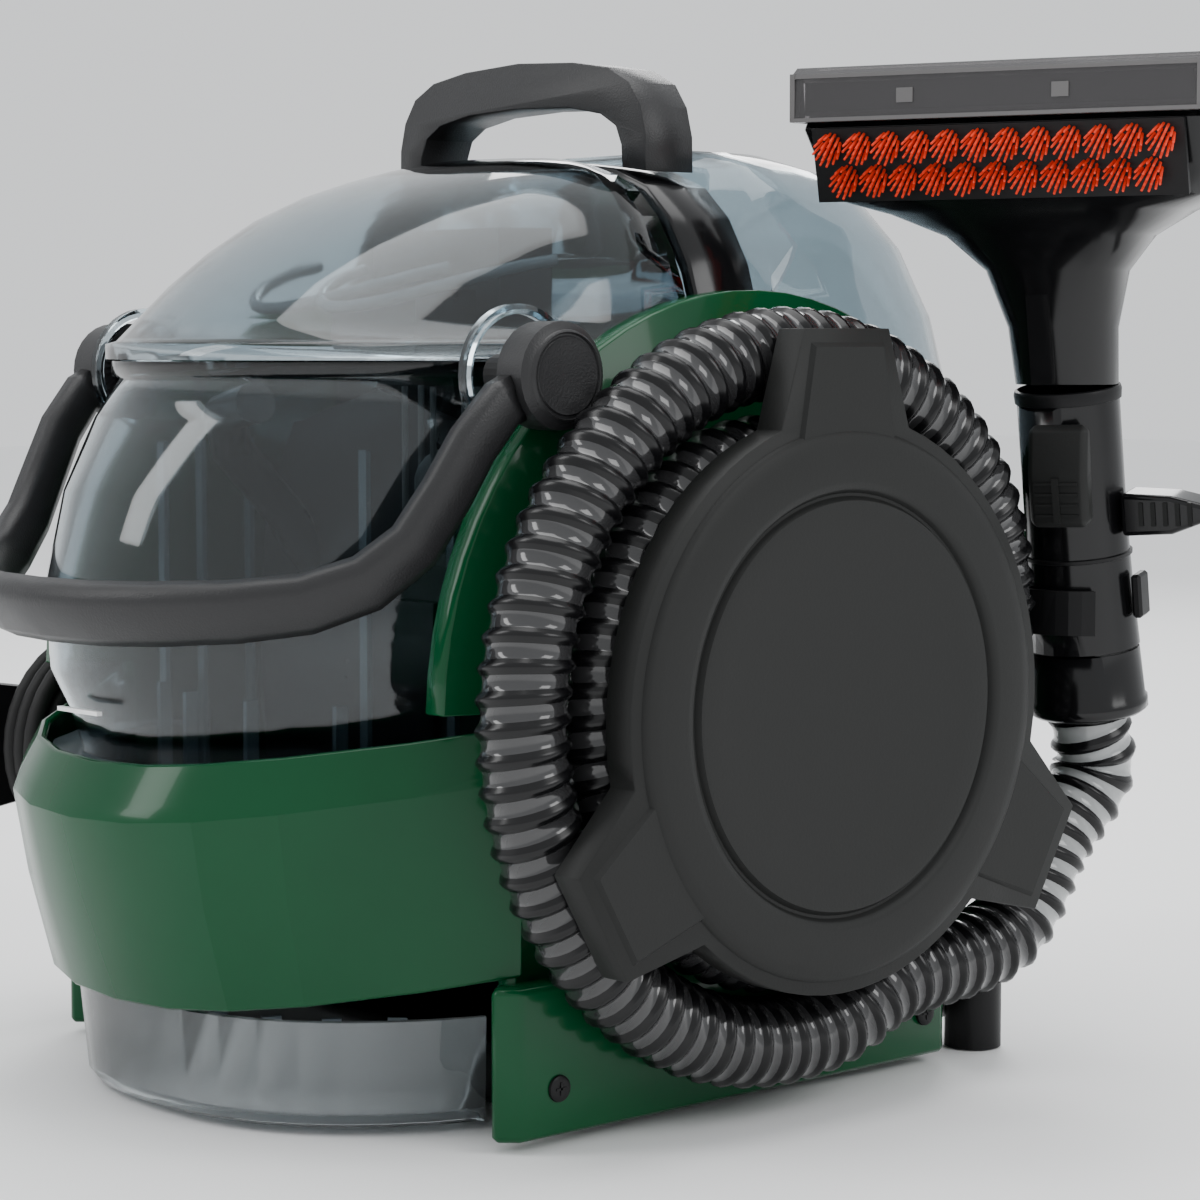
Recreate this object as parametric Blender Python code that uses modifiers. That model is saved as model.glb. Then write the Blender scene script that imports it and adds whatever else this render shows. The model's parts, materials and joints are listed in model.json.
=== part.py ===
"""Spot extractor: a portable carpet and upholstery machine with a wrapped suction hose.

Metres, +Z up. The front of the machine faces -Y and the hose side is +X.
"""
import math

import bmesh
import bpy
from mathutils import Euler, Matrix, Vector

OBJECT_NAME = "spot_extractor"
GAP = 0.0003

# Where the design's own centre line sits in the finished frame
ORIGIN_SHIFT = (-0.0360, 0.0166, 0.0)

# Overall form
HANDLE_TOP_Z = 0.362
SEAM_Z = 0.2545
SEAM_TOP_Z = 0.2610
TANK_REAR_Y = -0.003
TANK_POWER = 2.15
TANK_WALL = 0.0025
TANK_FLOOR_Z = 0.046
DOME_TOP_Z = 0.326

# Side walls
WALL_INNER_X = 0.107
WALL_OUTER_X = 0.1165
SKIRT_OUTER_X = 0.131
ARCH_CENTRE = (0.013, 0.140)
ARCH_RADIUS = 0.1385
BAND_END_Y = -0.0975

# Bail handle
HUB_Y = -0.086
HUB_Z = 0.250
HUB_RADIUS = 0.0175
BAIL_INNER_X = 0.1172
BAIL_OUTER_X = 0.1268

# Hose and its cover
COIL_CENTRE = (-0.0030, 0.1417)
HOSE_RADIUS = 0.0155
HOSE_X = 0.147
OUTER_TURN_RADIUS = 0.1155
INNER_TURN_RADIUS = 0.0835
DISC_CENTRE = (-0.004, 0.1417)
DISC_BACK_X = 0.1640
DISC_FRONT_X = 0.1760
DISC_RADIUS = 0.0955
TAB_TIP_RADIUS = 0.1235
TAB_TIP_HALF_WIDTH = 0.020
TAB_ROOT_HALF_WIDTH = 0.030
TAB_ANGLES = (90.0, 210.0, 330.0)
DRUM_RADIUS = 0.058

# Wand, stored upright at the rear right corner
WAND_BASE = (0.150, 0.152, 0.1260)
WAND_YAW = math.radians(20.0)
WAND_TILT = math.radians(8.5)
WAND_LEAN = math.radians(1.5)
WAND_RADIUS = 0.0185
CUFF_RADIUS = 0.0212
HEAD_HALF_LENGTH = 0.074
TRIGGER_PIVOT = (0.0, -0.0226, 0.1085)
BUTTON_CENTRE = (0.0226, 0.0, 0.0440)

# Mains cord, wound on two hooks on the left side
CORD_RADIUS = 0.0035
CORD_HOOK_Y = (-0.075, 0.055)
CORD_HOOK_Z = 0.106
CORD_INNER_RADIUS = 0.0245
CORD_OUTER_RADIUS = 0.0455
HANK_X = (-0.1575, -0.1365)

# Vacuum motor, on a vertical axis in the rear housing
MOTOR_Y = 0.062
REAR_STOP_Y = 0.1257


def clear_scene():
    for item in list(bpy.data.objects):
        bpy.data.objects.remove(item, do_unlink=True)


def new_collection(name):
    collection = bpy.data.collections.new(name)
    bpy.context.scene.collection.children.link(collection)
    return collection


clear_scene()
PARTS = new_collection(OBJECT_NAME)
CUTTERS = new_collection("cutters")
ROOT = bpy.data.objects.new("spot_extractor_origin", None)
PARTS.objects.link(ROOT)
ROOT.location = ORIGIN_SHIFT


def material(name, colour, roughness, metallic=0.0, alpha=1.0):
    made = bpy.data.materials.new(name)
    made.use_nodes = True
    shader = made.node_tree.nodes["Principled BSDF"]
    shader.inputs["Base Color"].default_value = (*colour, 1.0)
    shader.inputs["Roughness"].default_value = roughness
    shader.inputs["Metallic"].default_value = metallic
    shader.inputs["Alpha"].default_value = alpha
    made.diffuse_color = (*colour, alpha)
    return made


GREEN = material("green_plastic", (0.004, 0.105, 0.045), 0.25)
BLACK = material("black_plastic", (0.012, 0.012, 0.013), 0.35)
GLOSS = material("gloss_black_plastic", (0.006, 0.006, 0.007), 0.12)
CHARCOAL = material("charcoal_plastic", (0.045, 0.046, 0.045), 0.55)
HANDLE = material("handle_plastic", (0.060, 0.060, 0.062), 0.45)
CLEAR = material("smoked_clear_plastic", (0.45, 0.52, 0.56), 0.08)
VISOR = material("visor_clear_plastic", (0.30, 0.29, 0.30), 0.10)
RUBBER = material("black_rubber", (0.015, 0.015, 0.015), 0.80)
HOSE = material("smoked_hose", (0.12, 0.12, 0.12), 0.30)
BRISTLE = material("red_bristle", (0.80, 0.060, 0.020), 0.60)
STEEL = material("steel", (0.55, 0.55, 0.56), 0.30, 1.0)
GREY = material("grey_plastic", (0.25, 0.25, 0.25), 0.50)


def finish(item, surface, parent=None, location=None, collection=PARTS):
    """Put an object in the parts collection with its material and its parent."""
    collection.objects.link(item)
    if hasattr(item.data, "materials"):
        item.data.materials.clear()
        item.data.materials.append(surface)
    item.parent = parent or ROOT
    if location is not None:
        item.location = location
    return item


def from_bmesh(name, shape, surface, **place):
    bmesh.ops.recalc_face_normals(shape, faces=shape.faces)
    if shape.calc_volume(signed=True) < 0:
        bmesh.ops.reverse_faces(shape, faces=shape.faces)
    mesh = bpy.data.meshes.new(name)
    shape.to_mesh(mesh)
    shape.free()
    return finish(bpy.data.objects.new(name, mesh), surface, **place)


def pivot(item, point):
    """Move a part's origin to a point of its parent's frame, such as its joint, and leave its shape in place."""
    item.data.transform(Matrix.Translation(-Vector(point)))
    item.location = point
    return item


def smooth(item, angle=35.0):
    item.data.shade_smooth()
    item.data.set_sharp_from_angle(angle=math.radians(angle))
    return item


def bevel(item, width, segments=1, angle=35.0):
    edge = item.modifiers.new("rounded_edges", "BEVEL")
    edge.width = width
    edge.segments = segments
    edge.limit_method = "ANGLE"
    edge.angle_limit = math.radians(angle)
    return item


def cut(item, cutter):
    """Take a cutter's volume away from a part."""
    cutter.hide_render = True
    cutter.display_type = "WIRE"
    knife = item.modifiers.new("cut", "BOOLEAN")
    knife.operation = "DIFFERENCE"
    knife.object = cutter
    return item


def box(name, low, high, surface, edge=0.0, **place):
    shape = bmesh.new()
    bmesh.ops.create_cube(shape, size=1.0)
    for corner in shape.verts:
        for axis in range(3):
            middle = (low[axis] + high[axis]) / 2
            corner.co[axis] = middle + corner.co[axis] * (high[axis] - low[axis])
    item = from_bmesh(name, shape, surface, **place)
    if edge:
        bevel(item, edge)
    return item


def cylinder(name, start, end, radius, surface, sides=20, radius_end=None, **place):
    """A round bar between two points."""
    start = Vector(start)
    end = Vector(end)
    shape = bmesh.new()
    along = end - start
    bmesh.ops.create_cone(
        shape, cap_ends=True, segments=sides, depth=along.length,
        radius1=radius, radius2=radius if radius_end is None else radius_end)
    turn = Vector((0, 0, 1)).rotation_difference(along.normalized()).to_matrix()
    for corner in shape.verts:
        corner.co = turn @ corner.co + (start + end) / 2
    return smooth(from_bmesh(name, shape, surface, **place))


def turned(name, profile, surface, steps=24, rotation=(0, 0, 0), **place):
    """A solid of revolution about local Z from its (radius, height) outline, top to bottom outside."""
    mesh = bpy.data.meshes.new(name)
    following = profile[1:] + profile[:1]
    area = sum(a[0] * b[1] - b[0] * a[1] for a, b in zip(profile, following))
    if area > 0:
        profile = profile[::-1]
    points = [(radius, 0.0, height) for radius, height in profile]
    closed = profile[0][0] > 1e-6 or profile[-1][0] > 1e-6
    edges = [(i, i + 1) for i in range(len(points) - 1)]
    if closed:
        edges.append((len(points) - 1, 0))
    mesh.from_pydata(points, edges, [])
    item = finish(bpy.data.objects.new(name, mesh), surface, **place)
    item.rotation_euler = rotation
    spin = item.modifiers.new("turned", "SCREW")
    spin.axis = "Z"
    spin.steps = steps
    spin.render_steps = steps
    spin.use_merge_vertices = True
    spin.merge_threshold = 0.00001
    spin.use_smooth_shade = False
    return item


def plate(name, outlines, depth, surface, plane="YZ", at=0.0, edge=0.0, **place):
    """A flat outline extruded by half its depth each way, standing in the YZ, XZ or XY plane."""
    curve = bpy.data.curves.new(name, "CURVE")
    curve.dimensions = "2D"
    curve.fill_mode = "BOTH"
    curve.extrude = depth / 2
    for outline in outlines:
        spline = curve.splines.new("POLY")
        spline.points.add(len(outline) - 1)
        for point, (across, up) in zip(spline.points, outline):
            point.co = (across, up, 0.0, 1.0)
        spline.use_cyclic_u = True
    source = bpy.data.objects.new(name + "_outline", curve)
    bpy.context.scene.collection.objects.link(source)
    bpy.context.view_layer.update()
    graph = bpy.context.evaluated_depsgraph_get()
    mesh = bpy.data.meshes.new_from_object(source.evaluated_get(graph))
    mesh.name = name
    bpy.data.objects.remove(source, do_unlink=True)
    shape = bmesh.new()
    shape.from_mesh(mesh)
    bmesh.ops.remove_doubles(shape, verts=shape.verts, dist=0.00001)
    for corner in shape.verts:
        across, up, out = corner.co
        if plane == "YZ":
            corner.co = (at + out, across, up)
        elif plane == "XZ":
            corner.co = (across, at + out, up)
        else:
            corner.co = (across, up, at + out)
    bpy.data.meshes.remove(mesh)
    item = from_bmesh(name, shape, surface, **place)
    if edge:
        bevel(item, edge)
    return item


def tube(name, points, radius, surface, resolution=2, **place):
    """A bar that follows a list of points, with closed ends."""
    curve = bpy.data.curves.new(name, "CURVE")
    curve.dimensions = "3D"
    curve.bevel_depth = radius
    curve.bevel_resolution = resolution
    curve.use_fill_caps = True
    spline = curve.splines.new("POLY")
    spline.points.add(len(points) - 1)
    for point, place_at in zip(spline.points, points):
        point.co = (*place_at, 1.0)
    item = bpy.data.objects.new(name, curve)
    finish(item, surface, **place)
    return item


def loft(name, rings, surface, closed_profile=False, caps=(True, True), **place):
    """Skin a list of closed rings with the same number of points each."""
    shape = bmesh.new()
    levels = [[shape.verts.new(point) for point in ring] for ring in rings]
    pairs = list(zip(levels, levels[1:]))
    if closed_profile:
        pairs.append((levels[-1], levels[0]))
    for lower, upper in pairs:
        count = len(lower)
        for i in range(count):
            j = (i + 1) % count
            shape.faces.new((lower[i], lower[j], upper[j], upper[i]))
    if not closed_profile:
        if caps[0]:
            shape.faces.new(list(reversed(levels[0])))
        if caps[1]:
            shape.faces.new(levels[-1])
    return from_bmesh(name, shape, surface, **place)


def arc(centre, radius, start, end, count):
    """Points on an arc in a plane, angles in degrees."""
    points = []
    for i in range(count + 1):
        angle = math.radians(start + (end - start) * i / count)
        points.append((centre[0] + radius * math.cos(angle), centre[1] + radius * math.sin(angle)))
    return points


def superellipse(half_width, depth, power, count, sign=-1.0, corner_y=TANK_REAR_Y):
    """A D-shaped plan: a bulging front or back and a straight chord with rounded ends."""
    points = []
    for i in range(count + 1):
        angle = math.pi * i / count
        across = math.cos(angle)
        out = math.sin(angle)
        x = half_width * math.copysign(abs(across) ** (2 / power), across)
        y = corner_y + sign * (depth * abs(out) ** (2 / power))
        points.append((x, y))
    return points


def superellipse_ring(half_width, depth, power, count, sign, corner_y, z):
    return [(x, y, z) for x, y in superellipse(half_width, depth, power, count, sign, corner_y)]


def smooth_route(route, step):
    """Points a step apart on a smooth curve through the route's own points."""
    route = [Vector(point) for point in route]
    padded = [2 * route[0] - route[1]] + route + [2 * route[-1] - route[-2]]
    fine = []
    for a, b, c, d in zip(padded, padded[1:], padded[2:], padded[3:]):
        for i in range(12):
            t = i / 12
            fine.append(0.5 * ((2 * b) + (c - a) * t + (2 * a - 5 * b + 4 * c - d) * t * t
                               + (3 * b - a - 3 * c + d) * t ** 3))
    fine.append(route[-1])
    total = sum((q - p).length for p, q in zip(fine, fine[1:]))
    spans = max(2, round(total / step))
    spaced = [fine[0]]
    walked = 0.0
    target = total / spans
    for p, q in zip(fine, fine[1:]):
        span = (q - p).length
        while span > 0 and walked + span >= target * len(spaced) and len(spaced) < spans:
            t = (target * len(spaced) - walked) / span
            spaced.append(p.lerp(q, t))
        walked += span
    spaced.append(fine[-1])
    return spaced


# ---------------------------------------------------------------- body

def chassis_base():
    box("chassis_base", (-0.106, -0.090, 0.008), (0.106, 0.132, 0.0285), BLACK, edge=0.003)


def side_wall(name, side):
    """Green side wall: a round arch over the hose, stepped in at the rear for the wand."""
    cy, cz = ARCH_CENTRE
    front = -0.0955
    rear_radius = 0.112
    outline = [(front, 0.030), (front, cz + 0.0015)]
    outline += arc(ARCH_CENTRE, ARCH_RADIUS, 179.0, 31.0, 28)
    outline += arc(ARCH_CENTRE, rear_radius, 31.0, -20.0, 10)
    outline += [(0.110, 0.030)]
    middle = side * (WALL_INNER_X + WALL_OUTER_X) / 2
    depth = WALL_OUTER_X - WALL_INNER_X
    smooth(plate(name, [outline], depth, GREEN, at=middle, edge=0.0015))


def side_skirt(name, side):
    """Thick green lower side with a chamfered front post."""
    inner = WALL_OUTER_X + GAP
    outline = [
        (side * inner, -0.1050), (side * 0.1235, -0.1120), (side * SKIRT_OUTER_X, -0.1050),
        (side * SKIRT_OUTER_X, 0.0950), (side * 0.1270, 0.0990), (side * inner, 0.0990)]
    plate(name, [outline], 0.0500, GREEN, plane="XY", at=0.0040 + 0.0250, edge=0.0015)


BAND_FRONT = [(0.000, 0.0), (0.028, 0.002), (0.052, 0.009), (0.075, 0.023), (0.101, 0.051), (0.1225, 0.0745)]
BAND_LOW_Y = -0.173
BAND_SHOULDER_Y = -0.190


def band_plan(front_y, grow, end_y):
    """Plan points of the front band, left end to right end; the last point lies on the end plane."""
    half = []
    for x, back in BAND_FRONT:
        share = back / BAND_FRONT[-1][1]
        half.append((x + grow * min(1.0, x / 0.08), front_y + (end_y - front_y) * share))
    left = [(-x, y) for x, y in reversed(half)]
    return left + half[1:]


def band_rise(x):
    """The band's edges climb towards the side walls."""
    return 0.016 * (abs(x) / 0.1225) ** 2


def front_band():
    outer = [
        (BAND_LOW_Y, 0.000, 0.0400), (BAND_SHOULDER_Y + 0.006, 0.001, 0.0750),
        (BAND_SHOULDER_Y, 0.002, 0.1040), (BAND_SHOULDER_Y + 0.002, 0.001, 0.1090),
        (BAND_SHOULDER_Y + 0.009, -0.004, 0.1225)]
    inner = [
        (BAND_SHOULDER_Y + 0.012, -0.0065, 0.1220), (BAND_SHOULDER_Y + 0.007, -0.002, 0.1020),
        (BAND_LOW_Y + 0.004, -0.003, 0.0405)]
    profile = outer + inner
    sections = []
    for i in range(2 * len(BAND_FRONT) - 1):
        ring = []
        for front_y, grow, z in profile:
            x, y = band_plan(front_y, grow, BAND_END_Y)[i]
            ring.append((x, y, z + band_rise(x)))
        sections.append(ring)
    bevel(loft("front_band", sections, GREEN), 0.0008)


def front_skirt():
    """Clear skirt under the band, open at the bottom with an inward rim at the floor."""
    count = 24
    levels = [(0.1070, 0.1590, 0.0030), (0.1090, 0.1610, 0.0060), (0.1120, 0.1640, 0.0390)]
    inner = [(0.1090, 0.1610, 0.0390), (0.1060, 0.1580, 0.0080), (0.0990, 0.1510, 0.0075), (0.0990, 0.1510, 0.0030)]
    start = 4
    sections = []
    for i in range(start, count - start + 1):
        ring = []
        for half_width, depth, z in levels + inner:
            x, y = superellipse(half_width, depth, 2.5, count, corner_y=0.0)[i]
            ring.append((x, y, z))
        sections.append(ring)
    smooth(loft("front_skirt", sections, CLEAR), 30)


def rear_housing():
    """Open-bottomed shell that covers the motor and the pump."""
    outer = [(0.106, 0.117, 0.0290), (0.106, 0.117, 0.190), (0.100, 0.111, 0.2110)]
    rings = []
    front = 0.003
    for half_width, rear, z in outer:
        rings.append([(-half_width, front, z), (half_width, front, z), (half_width, rear - 0.02, z),
                      (half_width - 0.02, rear, z), (-half_width + 0.02, rear, z), (-half_width, rear - 0.02, z)])
    wall = 0.003
    for half_width, rear, z in reversed(outer):
        half_width -= wall
        rear -= wall
        z = z if z < 0.1 else z - wall
        rings.append([(-half_width, front + wall, z), (half_width, front + wall, z),
                      (half_width, rear - 0.02, z), (half_width - 0.02, rear, z),
                      (-half_width + 0.02, rear, z), (-half_width, rear - 0.02, z)])
    shape = bmesh.new()
    levels = [[shape.verts.new(point) for point in ring] for ring in rings]
    for index in range(len(levels) - 1):
        lower = levels[index]
        upper = levels[index + 1]
        if index == 2:
            shape.faces.new(lower)
            shape.faces.new(list(reversed(upper)))
            continue
        for i in range(6):
            j = (i + 1) % 6
            shape.faces.new((lower[i], lower[j], upper[j], upper[i]))
    for i in range(6):
        j = (i + 1) % 6
        shape.faces.new((levels[-1][i], levels[-1][j], levels[0][j], levels[0][i]))
    from_bmesh("rear_housing", shape, BLACK)


ARCH_SHAPE = [(0.1050, 0.2150), (0.1045, 0.2450), (0.1015, 0.2680), (0.0955, 0.2880), (0.0860, 0.3040),
              (0.0740, 0.3150), (0.0570, 0.3215), (0.0330, 0.3245), (0.0, 0.3255)]


def arch_frame():
    """Gloss black arch between the two tanks, which carries the handle."""
    outer = ARCH_SHAPE + [(-x, z) for x, z in reversed(ARCH_SHAPE[:-1])]
    thickness = 0.0050
    inner = []
    for x, z in outer:
        scale = (abs(x) - thickness) / max(abs(x), thickness)
        inner.append((x * max(scale, 0.0), 0.215 + (z - 0.215) * (1 - thickness / 0.112)))
    outline = outer + [point for point in reversed(inner)]
    smooth(plate("arch_frame", [outline], 0.0290, GLOSS, plane="XZ", at=0.0160, edge=0.0008))


def carry_handle():
    """Bridge handle: a broad flat arch on two legs."""
    outer = [(0.0690, 0.3205), (0.0688, 0.3330), (0.0660, 0.3435), (0.0600, 0.3520), (0.0490, 0.3575),
             (0.0300, 0.3605), (0.0, HANDLE_TOP_Z)]
    inner = [(0.0565, 0.3222), (0.0560, 0.3300), (0.0530, 0.3370), (0.0450, 0.3415), (0.0280, 0.3445), (0.0, 0.3455)]
    left = [(-x, z) for x, z in reversed(outer[:-1])]
    under_left = [(-x, z) for x, z in inner]
    under_right = [(x, z) for x, z in reversed(inner[:-1])]
    outline = outer + left + under_left + under_right
    smooth(plate("carry_handle", [outline], 0.0230, HANDLE, plane="XZ", at=0.0170, edge=0.0040), 40)


def dome(name, outer, wall, surface, power, sign, corner_y, count=22, **place):
    """A D-shaped bell, open below and closed at its crown, levels from rim to crown."""
    rings = []
    for half_width, depth, z in outer:
        rings.append(superellipse_ring(half_width, depth, power, count, sign, corner_y, z))
    last = len(outer) - 1
    for index, (half_width, depth, z) in reversed(list(enumerate(outer))):
        height = z - wall if index == last else z
        rings.append(superellipse_ring(half_width - wall, depth - 2 * wall, power, count, sign,
                                       corner_y + sign * wall, height))
    shape = bmesh.new()
    levels = [[shape.verts.new(point) for point in ring] for ring in rings]
    size = len(levels[0])
    order = list(range(len(levels)))
    for a, b in zip(order, order[1:] + order[:1]):
        if a == last:
            continue
        for i in range(size):
            j = (i + 1) % size
            shape.faces.new((levels[a][i], levels[a][j], levels[b][j], levels[b][i]))
    shape.faces.new(levels[last])
    shape.faces.new(levels[last + 1])
    return from_bmesh(name, shape, surface, **place)


def bucket(name, outer, wall, surface, power, sign, corner_y, count=22, **place):
    """An open-topped D-shaped vessel, levels from floor to rim."""
    shape = bmesh.new()
    outside = []
    inside = []
    for index, (half_width, depth, z) in reversed(list(enumerate(outer))):
        skin = superellipse_ring(half_width, depth, power, count, sign, corner_y, z)
        outside.append([shape.verts.new(point) for point in skin])
        height = z + wall if index == 0 else z
        skin = superellipse_ring(half_width - wall, depth - 2 * wall, power, count, sign,
                                 corner_y + sign * wall, height)
        inside.append([shape.verts.new(point) for point in skin])
    size = len(outside[0])
    for skins in (outside, inside):
        for upper, lower in zip(skins, skins[1:]):
            for i in range(size):
                j = (i + 1) % size
                shape.faces.new((upper[i], upper[j], lower[j], lower[i]))
        shape.faces.new(skins[-1])
    for i in range(size):
        j = (i + 1) % size
        shape.faces.new((outside[0][i], outside[0][j], inside[0][j], inside[0][i]))
    return from_bmesh(name, shape, surface, **place)


def clean_tank():
    """Rear solution tank: a clear shell on its own floor plate, with a filler cap and a valve."""
    levels = [(0.1045, 0.1370, 0.2200), (0.1045, 0.1340, 0.2420), (0.1030, 0.1240, 0.2700),
              (0.0985, 0.1080, 0.2950), (0.0880, 0.0920, 0.3130), (0.0760, 0.0760, 0.3230), (0.0600, 0.0560, 0.3290)]
    smooth(dome("clean_tank", levels, TANK_WALL, CLEAR, 3.4, 1.0, 0.0360), 40)
    floor = superellipse(0.1010, 0.1310, 3.4, 22, 1.0, 0.0390)
    plate("clean_tank_floor", [floor], 0.0070, CLEAR, plane="XY", at=0.2160)


def internals():
    """Motor, fan and pump under the rear housing."""
    turned("vacuum_motor",
           [(0.0, 0.078), (0.030, 0.078), (0.034, 0.072), (0.043, 0.066), (0.044, 0.012), (0.040, 0.0), (0.0, 0.0)],
           STEEL, location=(0.0, MOTOR_Y, 0.1020))
    turned("fan_shroud",
           [(0.0, 0.0020), (0.0475, 0.0020), (0.0475, 0.0380), (0.0495, 0.0380), (0.0495, 0.0), (0.0, 0.0)],
           BLACK, location=(0.0, MOTOR_Y, 0.0480))
    turned("motor_shaft", [(0.0, 0.0480), (0.0040, 0.0480), (0.0040, 0.0), (0.0, 0.0)], STEEL, steps=16,
           location=(0.0, MOTOR_Y, 0.0530))
    turned("fan_impeller",
           [(0.0043, 0.0260), (0.0120, 0.0260), (0.0140, 0.0240), (0.0440, 0.0240), (0.0440, 0.0040), (0.0043, 0.0040)],
           GREY, location=(0.0, MOTOR_Y, 0.0530))
    box("fan_mount", (-0.060, 0.012, 0.0290), (0.060, 0.112, 0.0470), BLACK, edge=0.003)
    box("solution_pump", (0.066, 0.030, 0.0290), (0.098, 0.088, 0.0700), GREY, edge=0.004)


def feet():
    for name, x, y in (("foot_front_left", -0.092, -0.068), ("foot_front_right", 0.092, -0.068),
                       ("foot_rear_left", -0.094, 0.095), ("foot_rear_right", 0.094, 0.095)):
        cylinder(name, (x, y, 0.0), (x, y, 0.0077), 0.0100, RUBBER, sides=20, radius_end=0.0115)
    for name, x in (("rear_stop_left", -0.1185), ("rear_stop_right", 0.1185)):
        turned(name, [(0.0, 0.026), (0.0090, 0.026), (0.0105, 0.024), (0.0105, 0.0), (0.0, 0.0)],
               BLACK, steps=24, location=(x, REAR_STOP_Y, 0.0005))


# ---------------------------------------------------------------- hose side

def hose_drum():
    turned("hose_drum",
           [(0.0, 0.0468), (DRUM_RADIUS, 0.0468), (DRUM_RADIUS, 0.0), (0.0, 0.0)], BLACK, steps=40,
           rotation=(0.0, math.radians(90.0), 0.0), location=(WALL_OUTER_X + GAP, *COIL_CENTRE))


def disc_outline():
    """Round cover with three tapering tabs."""
    outline = []
    root = math.asin(TAB_ROOT_HALF_WIDTH / DISC_RADIUS)
    angles = sorted(TAB_ANGLES)
    for index, angle in enumerate(angles):
        middle = math.radians(angle)
        along = (math.cos(middle), math.sin(middle))
        across = (-along[1], along[0])
        for share in (-1, 1):
            outline.append((DISC_CENTRE[0] + along[0] * TAB_TIP_RADIUS + across[0] * share * TAB_TIP_HALF_WIDTH,
                            DISC_CENTRE[1] + along[1] * TAB_TIP_RADIUS + across[1] * share * TAB_TIP_HALF_WIDTH))
        following = math.radians(angles[(index + 1) % 3] + (360 if index == 2 else 0))
        outline += arc(DISC_CENTRE, DISC_RADIUS, math.degrees(middle + root), math.degrees(following - root), 16)
    return outline


def hose_cover():
    depth = DISC_FRONT_X - DISC_BACK_X
    smooth(plate("hose_cover", [disc_outline()], depth, CHARCOAL, at=(DISC_BACK_X + DISC_FRONT_X) / 2, edge=0.004))


def wand_up():
    """Direction of the wand's axis, from its cuff up."""
    turn = Euler((WAND_TILT, -WAND_LEAN, WAND_YAW)).to_matrix()
    return turn @ Vector((0.0, 0.0, 1.0))


HOSE_START_ANGLE = -62.0
HOSE_STEP = 15.0
OUTER_STEPS = 18
BLEND_STEPS = 6
ALL_STEPS = 41
PORT_DRAW_IN = 0.0080


def hose_route():
    """Centre line: down out of the wand's cuff, one outer turn, a step inwards and one inner turn."""
    cy, cz = COIL_CENTRE
    base = Vector(WAND_BASE)
    up = wand_up()
    route = [base - up * 0.0024, base - up * 0.0240, (HOSE_X, 0.1360, 0.0800), (HOSE_X, 0.1080, 0.0480)]
    for i in range(ALL_STEPS):
        angle = math.radians(HOSE_START_ANGLE - HOSE_STEP * i)
        share = min(1.0, max(0.0, (i - OUTER_STEPS + 1) / BLEND_STEPS))
        ease = share * share * (3 - 2 * share)
        radius = OUTER_TURN_RADIUS + (INNER_TURN_RADIUS - OUTER_TURN_RADIUS) * ease
        radius -= PORT_DRAW_IN * max(0, i - ALL_STEPS + 5) / 4
        route.append((HOSE_X, cy + radius * math.cos(angle), cz + radius * math.sin(angle)))
    return route


def hose():
    points = smooth_route(hose_route(), 0.026)
    tube("suction_hose", points, HOSE_RADIUS, HOSE)
    heading = (points[-1] - points[-2]).normalized()
    start = points[-1] + heading * GAP
    cylinder("hose_port", start, start + heading * 0.0150, 0.0153, BLACK)


# ---------------------------------------------------------------- recovery tank

def recovery_tank():
    levels = [(0.0900, 0.1440, TANK_FLOOR_Z), (0.0960, 0.1530, 0.0520), (0.1010, 0.1600, 0.1000),
              (0.1035, 0.1700, 0.1300), (0.1045, 0.1800, 0.1500), (0.1045, 0.1810, 0.1800), (0.1040, 0.1730, 0.2100),
              (0.1030, 0.1590, 0.2350), (0.1020, 0.1480, 0.2480), (0.1045, 0.1510, 0.2492),
              (0.1045, 0.1510, SEAM_Z - GAP)]
    smooth(bucket("recovery_tank", levels, TANK_WALL, CLEAR, TANK_POWER, -1.0, TANK_REAR_Y), 40)
    box("tank_inlet_duct", (-0.022, -0.046, 0.0500), (0.022, -0.0075, 0.2480), BLACK, edge=0.003)
    turned("float_ball",
           [(0.0, 0.0240)] + [(0.0120 * math.sin(math.radians(a)), 0.0120 + 0.0120 * math.cos(math.radians(a)))
                              for a in range(20, 180, 20)] + [(0.0, 0.0)],
           RUBBER, steps=20, location=(0.058, -0.075, 0.2010))
    seal = superellipse(0.0985, 0.1400, TANK_POWER, 22, -1.0, -0.0060)
    inner = superellipse(0.0960, 0.1350, TANK_POWER, 22, -1.0, -0.0085)
    plate("lid_seal", [seal, list(reversed(inner))], 0.0040, RUBBER, plane="XY", at=0.2515)
    for name, side in (("bail_pivot_right", 1.0), ("bail_pivot_left", -1.0)):
        cylinder(name, (side * 0.0975, HUB_Y, HUB_Z), (side * 0.1259, HUB_Y, HUB_Z), 0.0070, BLACK)


def tank_lid():
    levels = [(0.1063, 0.1530, SEAM_Z + GAP), (0.1063, 0.1530, SEAM_TOP_Z - 0.001), (0.1035, 0.1490, SEAM_TOP_Z),
              (0.1010, 0.1410, 0.2680), (0.0970, 0.1270, 0.2800), (0.0920, 0.1100, 0.2920), (0.0845, 0.0890, 0.3040),
              (0.0750, 0.0670, 0.3130), (0.0640, 0.0480, 0.3188), (0.0500, 0.0320, 0.3230), (0.0320, 0.0170, DOME_TOP_Z)]
    smooth(dome("tank_lid", levels, TANK_WALL, CLEAR, TANK_POWER, -1.0, TANK_REAR_Y), 30)


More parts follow.
